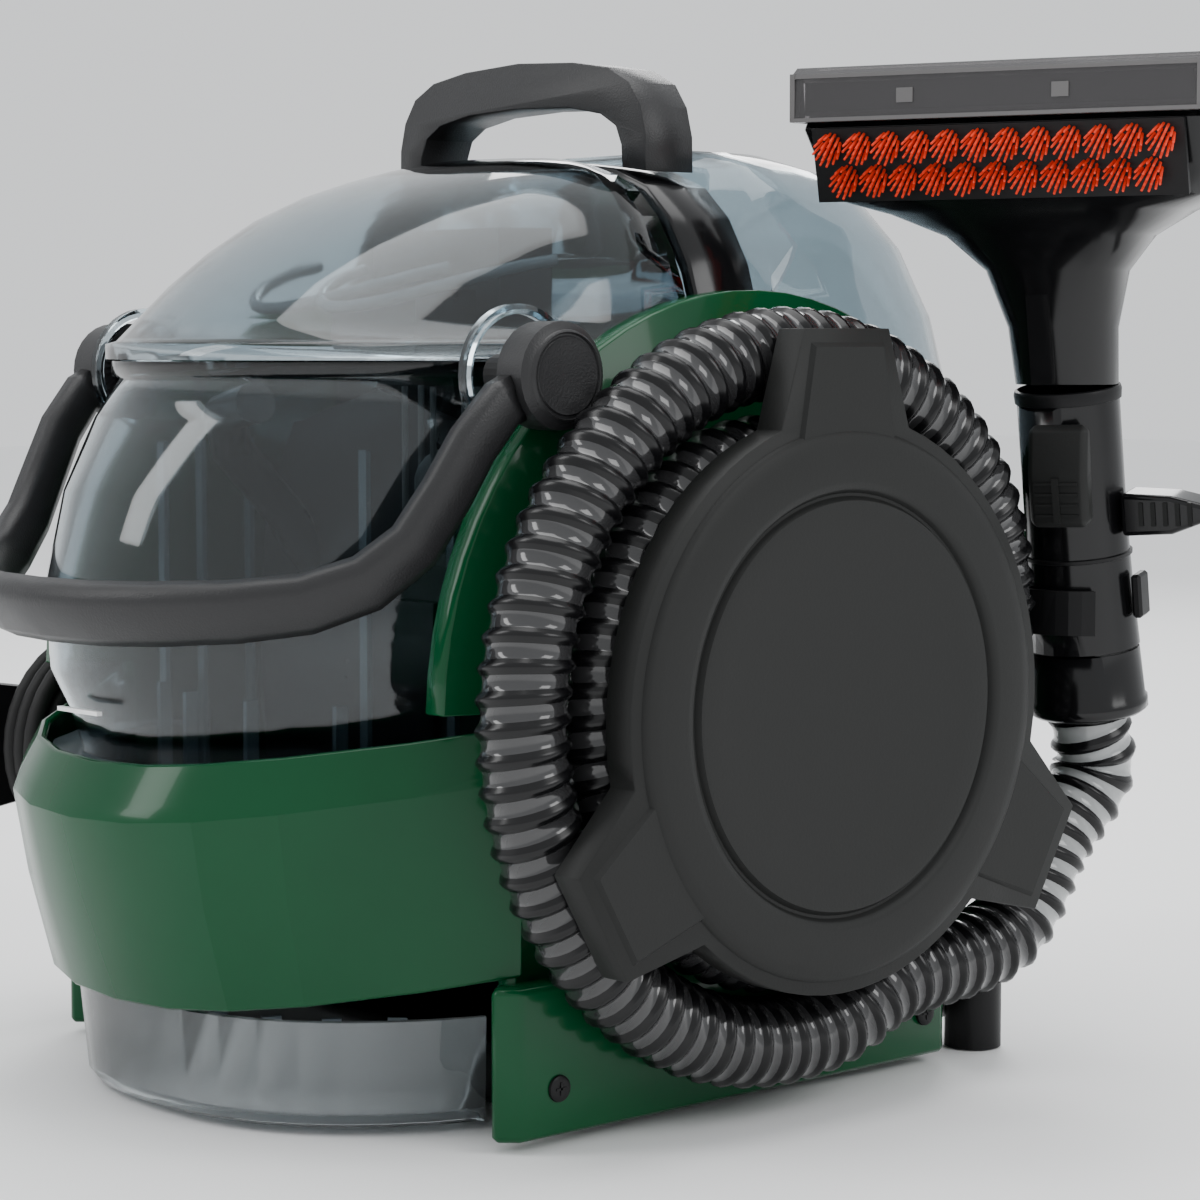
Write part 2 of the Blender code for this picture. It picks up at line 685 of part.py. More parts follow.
BAIL_SIDE = [(-0.0860, 0.2500), (-0.1020, 0.2440), (-0.1135, 0.2320), (-0.1230, 0.2150), (-0.1340, 0.1970),
             (-0.1480, 0.1845), (-0.1650, 0.1775), (-0.1970, 0.1735)]
BAIL_CENTRE_Y = -0.0960
BAIL_HALF_WIDTH = 0.1215
BAIL_LOOP_DEPTH = 0.1020
BAIL_SIDES = 8
BAIL_ANGLES = (5, 11, 16, 22, 30, 40, 52, 66, 78, 90)


def bail_height(y):
    """Height of the bar's middle at a distance in front, from its side view."""
    for (y1, z1), (y2, z2) in zip(BAIL_SIDE, BAIL_SIDE[1:]):
        if y >= y2:
            return z1 + (z2 - z1) * (y - y1) / (y2 - y1)
    return BAIL_SIDE[-1][1]


def bail_stations():
    """Right half of the bail, hub to front: centre, half height and half thickness at each station."""
    arm_x = (BAIL_INNER_X + BAIL_OUTER_X) / 2
    stations = [(Vector((arm_x, HUB_Y, HUB_Z)), 0.0085, 0.0046)]
    for degrees in BAIL_ANGLES:
        angle = math.radians(degrees)
        x = BAIL_HALF_WIDTH * math.cos(angle) if degrees < 90 else 0.0
        y = BAIL_CENTRE_Y - BAIL_LOOP_DEPTH * math.sin(angle)
        stations.append((Vector((x, y, bail_height(y))), 0.0082 + 0.0028 * math.sin(angle),
                         0.0046 + 0.0016 * math.sin(angle)))
    return stations


def bail_handle():
    """A U-shaped bar: two arms from the hubs and a loop round the front of the tank."""
    right = bail_stations()
    left = [(Vector((-point.x, point.y, point.z)), tall, thick) for point, tall, thick in right[-2::-1]]
    stations = right + left
    sections = []
    across = Vector((1.0, 0.0, 0.0))
    for index, (point, tall, thick) in enumerate(stations):
        before = stations[max(0, index - 1)][0]
        after = stations[min(len(stations) - 1, index + 1)][0]
        heading = (after - before).normalized()
        across = (across - heading * across.dot(heading)).normalized()
        up = heading.cross(across).normalized()
        ring = []
        for k in range(BAIL_SIDES):
            angle = 2 * math.pi * (k + 0.5) / BAIL_SIDES
            wide = math.copysign(abs(math.cos(angle)) ** 0.6, math.cos(angle)) * thick
            high = math.copysign(abs(math.sin(angle)) ** 0.6, math.sin(angle)) * tall
            ring.append(point + across * wide + up * high)
        sections.append(ring)
    item = smooth(loft("bail_handle", sections, HANDLE), 50)
    pivot(item, (0.0, HUB_Y, HUB_Z))
    for label, side in (("right", 1.0), ("left", -1.0)):
        cutter = cylinder(f"bail_hub_cutter_{label}", (side * 0.1100, HUB_Y, HUB_Z), (side * 0.1400, HUB_Y, HUB_Z),
                          HUB_RADIUS + GAP, GREY, collection=CUTTERS)
        cut(item, cutter)


def bail_hubs():
    for name, side in (("bail_hub_right", 1.0), ("bail_hub_left", -1.0)):
        turned(name,
               [(0.0, 0.0140), (0.0150, 0.0140), (HUB_RADIUS, 0.0120), (HUB_RADIUS, 0.0), (0.0073, 0.0),
                (0.0073, 0.0100), (0.0, 0.0100)],
               HANDLE, steps=28, rotation=(0.0, side * math.radians(90.0), 0.0),
               location=(side * 0.1168, HUB_Y, HUB_Z))


# ---------------------------------------------------------------- wand

def wand_frame():
    """An empty at the foot of the wand: local -Y faces the brush side and local Z runs up the wand."""
    frame = bpy.data.objects.new("wand_axis", None)
    PARTS.objects.link(frame)
    frame.parent = ROOT
    frame.location = WAND_BASE
    frame.rotation_euler = (WAND_TILT, -WAND_LEAN, WAND_YAW)
    return frame


def wand(frame):
    turned("hose_cuff",
           [(0.0, 0.0240), (CUFF_RADIUS - 0.0010, 0.0240), (CUFF_RADIUS, 0.0060), (CUFF_RADIUS + 0.0008, 0.0050),
            (CUFF_RADIUS + 0.0008, 0.0015), (CUFF_RADIUS - 0.0010, 0.0), (0.0, 0.0)],
           GLOSS, steps=28, parent=frame)
    turned("wand_handle",
           [(0.0, 0.1180), (WAND_RADIUS, 0.1180), (WAND_RADIUS, 0.0700), (WAND_RADIUS + 0.0008, 0.0450),
            (CUFF_RADIUS - 0.0008, 0.0250), (0.0, 0.0250)],
           GLOSS, steps=28, parent=frame)
    pad = [(-0.0295, 0.0740), (-0.0230, 0.0740), (-0.0202, 0.1100), (-0.0250, 0.1100), (-0.0290, 0.0930)]
    trigger = plate("wand_trigger", [pad], 0.0220, CHARCOAL, at=0.0040, edge=0.0020, parent=frame)
    pivot(trigger, TRIGGER_PIVOT)
    box("wand_hook", (0.0197, -0.0080, 0.0670), (0.0530, 0.0080, 0.0820), GLOSS, edge=0.0025, parent=frame)
    button = box("wand_button", (0.0208, -0.0050, 0.0360), (0.0245, 0.0050, 0.0520), BLACK, edge=0.0010, parent=frame)
    pivot(button, BUTTON_CENTRE)


def tool_head():
    """Flared nozzle: a round neck that spreads into a wide flat head leaning over the brush side."""
    frame = bpy.data.objects.new("head_axis", None)
    PARTS.objects.link(frame)
    frame.parent = ROOT
    frame.location = WAND_BASE
    frame.rotation_euler = (0.0, 0.0, WAND_YAW)
    count = 20
    slope = math.tan(WAND_TILT)
    lean = math.tan(WAND_LEAN)
    rows = [(0.0185, 0.0185, 0.0, 0.1195, 2.0), (0.0195, 0.0190, 0.0, 0.1400, 2.2),
            (0.0250, 0.0195, 0.0020, 0.1600, 2.8), (0.0370, 0.0195, 0.0070, 0.1720, 3.4),
            (0.0540, 0.0190, 0.0150, 0.1800, 4.5), (0.0680, 0.0185, 0.0220, 0.1845, 7.0),
            (HEAD_HALF_LENGTH - 0.003, 0.0180, 0.0290, 0.1925, 9.0),
            (HEAD_HALF_LENGTH, 0.0180, 0.0360, 0.2090, 9.0),
            (HEAD_HALF_LENGTH - 0.002, 0.0110, 0.0300, 0.2240, 9.0)]
    rings = []
    for half_x, half_y, ahead, z, power in rows:
        ring = []
        for i in range(count):
            angle = 2 * math.pi * (i + 0.5) / count
            across = math.cos(angle)
            out = math.sin(angle)
            ring.append((half_x * math.copysign(abs(across) ** (2 / power), across) - z * lean,
                         -z * slope - ahead + half_y * math.copysign(abs(out) ** (2 / power), out), z))
        rings.append(ring)
    smooth(loft("tool_head", rings, GLOSS, parent=frame), 35)
    middle = -0.2200 * lean
    visor = [(-0.0905, 0.2120), (-0.0857, 0.2120), (-0.0805, 0.2262), (-0.0585, 0.2262), (-0.0585, 0.2300),
             (-0.0845, 0.2300), (-0.0900, 0.2265)]
    plate("tool_visor", [visor], 2 * HEAD_HALF_LENGTH, VISOR, at=middle, parent=frame)
    brush = [(-0.0800, 0.1840), (-0.0862, 0.2080), (-0.0950, 0.2030), (-0.0925, 0.1810)]
    plate("brush_block", [brush], 0.1300, BRISTLE, at=middle, parent=frame)


def wand_dock():
    """Open clip on the rear corner that the wand's body snaps into, with its arm."""
    inside = CUFF_RADIUS + 0.0012
    outside = inside + 0.0035
    centre = (WAND_BASE[0] + 0.0008, WAND_BASE[1] - 0.0052)
    outline = arc(centre, inside, 320.0, 140.0, 16) + arc(centre, outside, 140.0, 190.0, 5)
    outline += [(0.1085, 0.1380), (0.1085, 0.1255), (0.1300, 0.1255)] + arc(centre, outside, 235.0, 320.0, 8)
    plate("wand_dock", [outline], 0.0160, GREY, plane="XY", at=0.1640)


# ---------------------------------------------------------------- cord side

def cord_hooks():
    """Two hooks for the mains cord: a fixed one in front and a swivelling one behind."""
    back_x = -WALL_OUTER_X - GAP
    half = CORD_INNER_RADIUS - 0.0030
    for name, y, sign in (("cord_hook_front", CORD_HOOK_Y[0], -1.0), ("cord_hook_rear", CORD_HOOK_Y[1], 1.0)):
        turned(name, [(0.0, 0.0500), (0.0150, 0.0500), (half, 0.0480), (half, 0.0), (0.0, 0.0)], BLACK, steps=32,
               rotation=(0.0, math.radians(-90.0), 0.0), location=(back_x, y, CORD_HOOK_Z))
        tip = [(y + sign * (CORD_OUTER_RADIUS + 0.006), CORD_HOOK_Z - 0.026),
               (y + sign * (CORD_OUTER_RADIUS + 0.009), CORD_HOOK_Z),
               (y + sign * (CORD_OUTER_RADIUS + 0.006), CORD_HOOK_Z + 0.026),
               (y - sign * 0.012, CORD_HOOK_Z + 0.016), (y - sign * 0.012, CORD_HOOK_Z - 0.016)]
        flange = plate(name + "_plate", [tip], 0.0045, BLACK, at=back_x - 0.0500 - GAP - 0.00225, edge=0.0012)
        pivot(flange, (back_x, y, CORD_HOOK_Z))


def stadium(radius, count=8):
    """Plan of a winding round both hooks."""
    front, rear = CORD_HOOK_Y
    return (arc((front, CORD_HOOK_Z), radius, 90.0, 270.0, count)
            + arc((rear, CORD_HOOK_Z), radius, -90.0, 90.0, count))


CORD_LEAD_ROUTE = ((-0.0800, 0.1486, 0.0560), (-0.0806, 0.1620, 0.0562), (-0.0920, 0.1790, 0.0565),
                   (-0.1150, 0.1800, 0.0567), (-0.1370, 0.1620, 0.0566), (-0.1465, 0.1300, 0.0565),
                   (-0.1470, 0.0960, 0.0565), (-0.1470, 0.0600, 0.0565))
CORD_TAIL_ROUTE = ((-0.1470, -0.0100, 0.1555), (-0.1470, 0.0150, 0.1556), (-0.1470, 0.0400, 0.1590),
                   (-0.1470, 0.0600, 0.1640))


def mains_cord():
    width = HANK_X[1] - HANK_X[0]
    middle = (HANK_X[0] + HANK_X[1]) / 2
    plate("cord_hank", [stadium(CORD_OUTER_RADIUS), list(reversed(stadium(CORD_INNER_RADIUS)))], width,
          RUBBER, at=middle)
    gland = [(0.0, 0.0300), (0.0042, 0.0300), (0.0060, 0.0060), (0.0085, 0.0050), (0.0085, 0.0), (0.0, 0.0)]
    turned("cord_strain_relief", gland, RUBBER, steps=20, rotation=(math.radians(-90.0), 0.0, 0.0),
           location=(-0.0800, 0.1173, 0.0560))
    tube("cord_lead", smooth_route(CORD_LEAD_ROUTE, 0.012), CORD_RADIUS, RUBBER, resolution=2)
    points = smooth_route(CORD_TAIL_ROUTE, 0.012)
    tube("cord_tail", points, CORD_RADIUS, RUBBER, resolution=2)
    heading = (points[-1] - points[-2]).normalized()
    turn = Vector((0.0, 0.0, 1.0)).rotation_difference(heading).to_euler()
    profile = [(0.0, 0.0500), (0.0120, 0.0500), (0.0135, 0.0460), (0.0135, 0.0260), (0.0075, 0.0160),
               (0.0048, 0.0), (0.0, 0.0)]
    turned("mains_plug", profile, RUBBER, steps=20, rotation=turn, location=points[-1] + heading * GAP)


def controls():
    """Rocker switch on the back of the rear housing."""
    frame = [(-0.064, 0.150), (-0.032, 0.150), (-0.032, 0.182), (-0.064, 0.182)]
    x = -0.048
    hole = [(x - 0.0085, 0.1545), (x - 0.0085, 0.1775), (x + 0.0085, 0.1775), (x + 0.0085, 0.1545)]
    plate("switch_bezel", [frame, hole], 0.0040, BLACK, plane="XZ", at=0.1195)
    outline = [(-0.0003, -0.0100), (-0.0003, 0.0100), (0.0055, 0.0100), (0.0020, 0.0), (0.0035, -0.0100)]
    plate("power_switch", [outline], 0.0150, GREEN).location = (x, 0.1195, 0.1660)


def side_screws():
    for index, (y, z) in enumerate(((-0.090, 0.020), (0.085, 0.020))):
        cylinder(f"skirt_screw_{index + 1}", (SKIRT_OUTER_X + GAP, y, z),
                 (SKIRT_OUTER_X + 0.0018, y, z), 0.0045, BLACK, sides=16)


chassis_base()
side_wall("side_wall_right", 1.0)
side_wall("side_wall_left", -1.0)
side_skirt("side_skirt_right", 1.0)
side_skirt("side_skirt_left", -1.0)
front_band()
front_skirt()
rear_housing()
arch_frame()
carry_handle()
clean_tank()
internals()
feet()
hose_drum()
hose_cover()
hose()
recovery_tank()
tank_lid()
bail_handle()
bail_hubs()
WAND = wand_frame()
wand(WAND)
tool_head()
wand_dock()
cord_hooks()
mains_cord()
controls()
side_screws()
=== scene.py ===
"""Looks of the spot extractor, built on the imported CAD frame."""

import json
import math

import bmesh
import bpy
from mathutils import Matrix, Vector


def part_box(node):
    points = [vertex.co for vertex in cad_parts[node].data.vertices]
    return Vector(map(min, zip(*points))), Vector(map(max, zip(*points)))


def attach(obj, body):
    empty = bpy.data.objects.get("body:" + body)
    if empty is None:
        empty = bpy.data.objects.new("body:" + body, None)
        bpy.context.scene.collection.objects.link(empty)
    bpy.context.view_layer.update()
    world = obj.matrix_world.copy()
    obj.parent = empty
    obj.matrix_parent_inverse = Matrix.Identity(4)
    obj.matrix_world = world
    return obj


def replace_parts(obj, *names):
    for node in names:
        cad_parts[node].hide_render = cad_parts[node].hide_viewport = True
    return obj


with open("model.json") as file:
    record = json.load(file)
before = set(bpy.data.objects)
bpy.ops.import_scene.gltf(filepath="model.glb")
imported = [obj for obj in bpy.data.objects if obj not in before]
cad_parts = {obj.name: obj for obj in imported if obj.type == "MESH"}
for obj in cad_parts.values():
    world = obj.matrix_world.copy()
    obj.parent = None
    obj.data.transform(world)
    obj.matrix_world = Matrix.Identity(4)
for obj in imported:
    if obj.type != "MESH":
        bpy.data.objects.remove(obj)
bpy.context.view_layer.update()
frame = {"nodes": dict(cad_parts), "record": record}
NODES = frame["nodes"]
RECORD = frame["record"]

BODY_OF = {}
for body_name, node_names in RECORD["behaviour"]["bodies"].items():
    for node_name in node_names:
        BODY_OF[node_name] = body_name
JOINTS = {joint["name"]: joint for joint in RECORD["behaviour"]["joints"]}


def middle(node):
    low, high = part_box(node)
    return (low + high) / 2


# The design's centre plane and the coil's centre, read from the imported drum
COIL = middle("hose_drum")
SHIFT = Vector((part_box("hose_drum")[0].x - 0.1168, COIL.y + 0.0030, 0.0))


def at(x, y, z):
    """A point of the design's own frame in the row frame."""
    return Vector((x, y, z)) + SHIFT


# ---------------------------------------------------------------- camera

camera_data = bpy.data.cameras.new("camera")
camera_data.lens = 96.5
camera_data.sensor_width = 36.0
camera = bpy.data.objects.new("camera", camera_data)
bpy.context.scene.collection.objects.link(camera)
camera.location = at(0.9018, -0.7659, 0.2614)
PITCH = math.radians(4.62)
heading = Vector((-0.7431 * math.cos(PITCH), 0.6691 * math.cos(PITCH), -math.sin(PITCH)))
camera.rotation_euler = heading.to_track_quat("-Z", "Y").to_euler()
bpy.context.scene.camera = camera


# ---------------------------------------------------------------- materials

def material(name, colour, rough, spread=0.12, scale=60.0, metallic=0.0, coat=0.0, bump=0.0,
             bump_scale=900.0, transmission=0.0, ior=1.46, rough_spread=0.06, specular=0.5):
    """A Principled finish with a little cloud in its colour and gloss, and an optional fine grain."""
    made = bpy.data.materials.new(name)
    made.use_nodes = True
    tree = made.node_tree
    shader = tree.nodes["Principled BSDF"]
    coords = tree.nodes.new("ShaderNodeTexCoord")
    noise = tree.nodes.new("ShaderNodeTexNoise")
    noise.inputs["Scale"].default_value = scale
    noise.inputs["Detail"].default_value = 3.0
    tree.links.new(coords.outputs["Object"], noise.inputs["Vector"])
    ramp = tree.nodes.new("ShaderNodeValToRGB")
    ramp.color_ramp.elements[0].color = (*[c * (1 - spread) for c in colour], 1.0)
    ramp.color_ramp.elements[1].color = (*[min(1.0, c * (1 + spread)) for c in colour], 1.0)
    tree.links.new(noise.outputs["Fac"], ramp.inputs["Fac"])
    tree.links.new(ramp.outputs["Color"], shader.inputs["Base Color"])
    gloss = tree.nodes.new("ShaderNodeMapRange")
    gloss.inputs["To Min"].default_value = max(0.02, rough - rough_spread)
    gloss.inputs["To Max"].default_value = rough + rough_spread
    tree.links.new(noise.outputs["Fac"], gloss.inputs["Value"])
    tree.links.new(gloss.outputs["Result"], shader.inputs["Roughness"])
    if bump:
        grain = tree.nodes.new("ShaderNodeTexNoise")
        grain.inputs["Scale"].default_value = bump_scale
        grain.inputs["Detail"].default_value = 2.0
        tree.links.new(coords.outputs["Object"], grain.inputs["Vector"])
        raised = tree.nodes.new("ShaderNodeBump")
        raised.inputs["Strength"].default_value = bump
        raised.inputs["Distance"].default_value = 0.0004
        tree.links.new(grain.outputs["Fac"], raised.inputs["Height"])
        tree.links.new(raised.outputs["Normal"], shader.inputs["Normal"])
    shader.inputs["Metallic"].default_value = metallic
    shader.inputs["Coat Weight"].default_value = coat
    shader.inputs["Coat Roughness"].default_value = 0.05
    shader.inputs["Transmission Weight"].default_value = transmission
    shader.inputs["IOR"].default_value = ior
    shader.inputs["Specular IOR Level"].default_value = specular
    return made


GREEN = material("green", (0.0004, 0.056, 0.018), 0.20, coat=0.20, spread=0.06, specular=0.15)
BLACK = material("black", (0.006, 0.006, 0.0065), 0.40, bump=0.10, specular=0.25)
GLOSS = material("gloss_black", (0.004, 0.004, 0.0045), 0.16, specular=0.40)
CHARCOAL = material("charcoal", (0.0135, 0.014, 0.0135), 0.52, bump=0.15, spread=0.08, specular=0.22)
HANDLE = material("handle_grey", (0.017, 0.017, 0.018), 0.40, bump=0.35, bump_scale=1400.0, spread=0.10,
                  specular=0.38)
CLEAR = material("smoked_clear", (0.50, 0.58, 0.62), 0.05, spread=0.03, transmission=1.0, rough_spread=0.02)
CLEAR_SKIRT = material("skirt_clear", (0.62, 0.67, 0.69), 0.08, spread=0.03, transmission=0.95,
                       rough_spread=0.02)
RIB = material("inner_rib", (0.10, 0.125, 0.14), 0.25, spread=0.10)
DARK = material("tank_dark", (0.007, 0.008, 0.009), 0.30, spread=0.2, specular=0.3)
VISOR = material("visor_clear", (0.10, 0.095, 0.098), 0.08, spread=0.05, transmission=0.6, rough_spread=0.03)
VISOR_EDGE = material("visor_edge", (0.12, 0.115, 0.115), 0.18, spread=0.08)
RUBBER = material("rubber", (0.008, 0.008, 0.008), 0.58, bump=0.20, specular=0.3)
HOSE_WALL = material("hose_wall", (0.026, 0.026, 0.027), 0.13, spread=0.25, coat=0.5, rough_spread=0.04)
HOSE_LIGHT = material("hose_wall_lit", (0.30, 0.31, 0.31), 0.14, spread=0.20, coat=0.5, rough_spread=0.04)
HOSE_RIB = material("hose_rib", (0.004, 0.004, 0.0045), 0.24, spread=0.15, specular=0.35)
BRISTLE = material("bristle", (0.86, 0.050, 0.014), 0.50, spread=0.20, scale=400.0)
STEEL = material("steel", (0.55, 0.55, 0.56), 0.32, metallic=1.0)
BRASS = material("brass", (0.75, 0.55, 0.22), 0.28, metallic=1.0)
GREY = material("grey", (0.10, 0.10, 0.10), 0.50, bump=0.10)
WHITE = material("white_print", (0.85, 0.85, 0.85), 0.45, spread=0.03)
FLOOR = material("floor", (0.94, 0.94, 0.94), 0.60, spread=0.01, scale=4.0)

SLOT_LOOKS = {
    "green_plastic": GREEN, "black_plastic": BLACK, "gloss_black_plastic": GLOSS,
    "charcoal_plastic": CHARCOAL, "handle_plastic": HANDLE, "smoked_clear_plastic": CLEAR,
    "visor_clear_plastic": VISOR, "black_rubber": RUBBER, "smoked_hose": HOSE_WALL,
    "red_bristle": BRISTLE, "steel": STEEL, "grey_plastic": GREY, "float_foam": GREY}
OWN_LOOKS = {"front_skirt": CLEAR_SKIRT, "wand_dock": BLACK}
SLOT_OF = {entry["node"]: entry["material_slot"] for entry in RECORD["subparts"]}
for name, node in NODES.items():
    node.data.materials.clear()
    node.data.materials.append(OWN_LOOKS.get(name, SLOT_LOOKS[SLOT_OF[name]]))


# ---------------------------------------------------------------- mesh helpers

def piece(name, shape, look, body, angle=35.0):
    """A mesh piece that rides on a CAD body."""
    bmesh.ops.recalc_face_normals(shape, faces=shape.faces)
    mesh = bpy.data.meshes.new(name)
    shape.to_mesh(mesh)
    shape.free()
    item = bpy.data.objects.new(name, mesh)
    bpy.context.scene.collection.objects.link(item)
    mesh.materials.append(look)
    mesh.shade_smooth()
    mesh.set_sharp_from_angle(angle=math.radians(angle))
    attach(item, body)
    return item


def skin(node, angle=38.0, edge=0.0):
    """A smooth-shaded copy of a CAD node that stands for it."""
    shape = bmesh.new()
    shape.from_mesh(NODES[node].data)
    bmesh.ops.remove_doubles(shape, verts=shape.verts, dist=0.00002)
    look = NODES[node].data.materials[0]
    item = piece(node + "_skin", shape, look, BODY_OF[node], angle)
    if edge:
        rounded = item.modifiers.new("edges", "BEVEL")
        rounded.width = edge
        rounded.segments = 2
        rounded.limit_method = "ANGLE"
        rounded.angle_limit = math.radians(angle)
    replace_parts(item, node)
    return item


def add_box(shape, low, high, matrix=None):
    made = bmesh.ops.create_cube(shape, size=1.0)["verts"]
    for vert in made:
        for axis in range(3):
            half = (low[axis] + high[axis]) / 2
            vert.co[axis] = half + vert.co[axis] * (high[axis] - low[axis])
        if matrix:
            vert.co = matrix @ vert.co


def add_rod(shape, start, end, radius, radius_end=None, sides=16, matrix=None):
    start = Vector(start)
    end = Vector(end)
    made = bmesh.ops.create_cone(
        shape, cap_ends=True, segments=sides, depth=(end - start).length,
        radius1=radius, radius2=radius if radius_end is None else radius_end)["verts"]
    turn = Vector((0, 0, 1)).rotation_difference((end - start).normalized()).to_matrix()
    for vert in made:
        vert.co = turn @ vert.co + (start + end) / 2
        if matrix:
            vert.co = matrix @ vert.co


def add_path(shape, points, radius, sides=10):
    """A round bar through a list of points, with a parallel frame and closed ends."""
    points = [Vector(point) for point in points]
    along = (points[1] - points[0]).normalized()
    across = along.orthogonal().normalized()
    rings = []
    for index, point in enumerate(points):
        ahead = points[min(index + 1, len(points) - 1)] - points[max(index - 1, 0)]
        along = ahead.normalized()
        across = (across - along * across.dot(along)).normalized()
        up = along.cross(across)
        ring = []
        for k in range(sides):
            angle = 2 * math.pi * k / sides
            ring.append(shape.verts.new(point + (across * math.cos(angle) + up * math.sin(angle)) * radius))
        rings.append(ring)
    for lower, upper in zip(rings, rings[1:]):
        for k in range(sides):
            j = (k + 1) % sides
            shape.faces.new((lower[k], lower[j], upper[j], upper[k]))
    shape.faces.new(rings[0])
    shape.faces.new(rings[-1])


def add_turned(shape, profile, matrix, steps=64):
    """A solid of revolution about local Z; the profile's ends lie on the axis or it closes on itself."""
    closed = profile[0][0] > 1e-6
    rings = []
    for radius, height in profile:
        if radius < 1e-6:
            rings.append([shape.verts.new(matrix @ Vector((0, 0, height)))])
            continue
        rings.append([shape.verts.new(matrix @ Vector((radius * math.cos(2 * math.pi * k / steps),
                                                       radius * math.sin(2 * math.pi * k / steps), height)))
                      for k in range(steps)])
    pairs = list(zip(rings, rings[1:]))
    if closed:
        pairs.append((rings[-1], rings[0]))
    for lower, upper in pairs:
        for k in range(steps):
            j = (k + 1) % steps
            loop = ((lower, k), (lower, j), (upper, j), (upper, k))
            distinct = list(dict.fromkeys(ring[index % len(ring)] for ring, index in loop))
            if len(distinct) > 2:
                shape.faces.new(distinct)


def add_prism(shape, outline, low, high, matrix=None, order=(0, 1, 2)):
    """A flat outline extruded between two heights; order says which axes are across, up and out."""
    rings = []
    for out in (low, high):
        ring = []
        for across, up in outline:
            place = [0.0, 0.0, 0.0]
            place[order[0]] = across
            place[order[1]] = up
            place[order[2]] = out
            point = Vector(place)
            ring.append(shape.verts.new(matrix @ point if matrix else point))
        rings.append(ring)
    count = len(outline)
    for k in range(count):
        j = (k + 1) % count
        shape.faces.new((rings[0][k], rings[0][j], rings[1][j], rings[1][k]))
    shape.faces.new(rings[0])
    shape.faces.new(rings[1])


def length_of(points):
    return sum((b - a).length for a, b in zip(points, points[1:]))


def smooth_route(route, step):
    """Points a step apart on a smooth curve through the route's own points."""
    route = [Vector(point) for point in route]
    padded = [2 * route[0] - route[1]] + route + [2 * route[-1] - route[-2]]
    fine = []
    for a, b, c, d in zip(padded, padded[1:], padded[2:], padded[3:]):
        for i in range(24):
            t = i / 24
            fine.append(0.5 * ((2 * b) + (c - a) * t + (2 * a - 5 * b + 4 * c - d) * t * t
                               + (3 * b - a - 3 * c + d) * t ** 3))
    fine.append(route[-1])
    spans = max(2, round(length_of(fine) / step))
    target = length_of(fine) / spans
    spaced = [fine[0]]
    walked = 0.0
    for p, q in zip(fine, fine[1:]):
        span = (q - p).length
        while span > 0 and walked + span >= target * len(spaced) and len(spaced) < spans:
            spaced.append(p.lerp(q, (target * len(spaced) - walked) / span))
        walked += span
    spaced.append(fine[-1])
    return spaced


# ---------------------------------------------------------------- suction hose

HOSE_RADIUS = 0.0155
HOSE_X = 0.147
OUTER_TURN_RADIUS = 0.1155
INNER_TURN_RADIUS = 0.0835
HOSE_PITCH = 0.0090
START_ANGLE = -62.0
STEP_ANGLE = 15.0
OUTER_STEPS = 18
BLEND_STEPS = 6
ALL_STEPS = 41
PORT_DRAW_IN = 0.0080
ROWS_PER_PITCH = 8
LIT_LENGTH = 0.085
RIB_HEIGHT = 0.0020
RIB_SHARE = 0.25
WALL_SLOT, RIB_SLOT, LIT_SLOT = range(3)
WAND_BASE = Vector(JOINTS["cuff_turn"]["pos_m"])
WAND_Z = Vector(JOINTS["cuff_turn"]["axis"]).normalized()
WAND_X = Vector(JOINTS["trigger_squeeze"]["axis"]).normalized()
WAND_Y = WAND_Z.cross(WAND_X)
WAND = Matrix.Translation(WAND_BASE) @ Matrix((WAND_X, WAND_Y, WAND_Z)).transposed().to_4x4()
HEAD_YAW = math.atan2(WAND_X.y, WAND_X.x)
HEAD = Matrix.Translation(WAND_BASE) @ Matrix.Rotation(HEAD_YAW, 4, "Z")


def hose_points():
    """Centre line: down out of the cuff, one outer turn, a step inwards and one inner turn."""
    route = [WAND_BASE - WAND_Z * 0.0024, WAND_BASE - WAND_Z * 0.0240,
             at(HOSE_X, 0.1360, 0.0800), at(HOSE_X, 0.1080, 0.0480)]
    for i in range(ALL_STEPS):
        angle = math.radians(START_ANGLE - STEP_ANGLE * i)
        share = min(1.0, max(0.0, (i - OUTER_STEPS + 1) / BLEND_STEPS))
        ease = share * share * (3 - 2 * share)
        radius = OUTER_TURN_RADIUS + (INNER_TURN_RADIUS - OUTER_TURN_RADIUS) * ease
        radius -= PORT_DRAW_IN * max(0, i - ALL_STEPS + 5) / 4
        y = COIL.y + radius * math.cos(angle)
        z = COIL.z + radius * math.sin(angle)
        route.append(Vector((at(HOSE_X, 0, 0).x, y, z)))
    return smooth_route(route, HOSE_PITCH / ROWS_PER_PITCH)


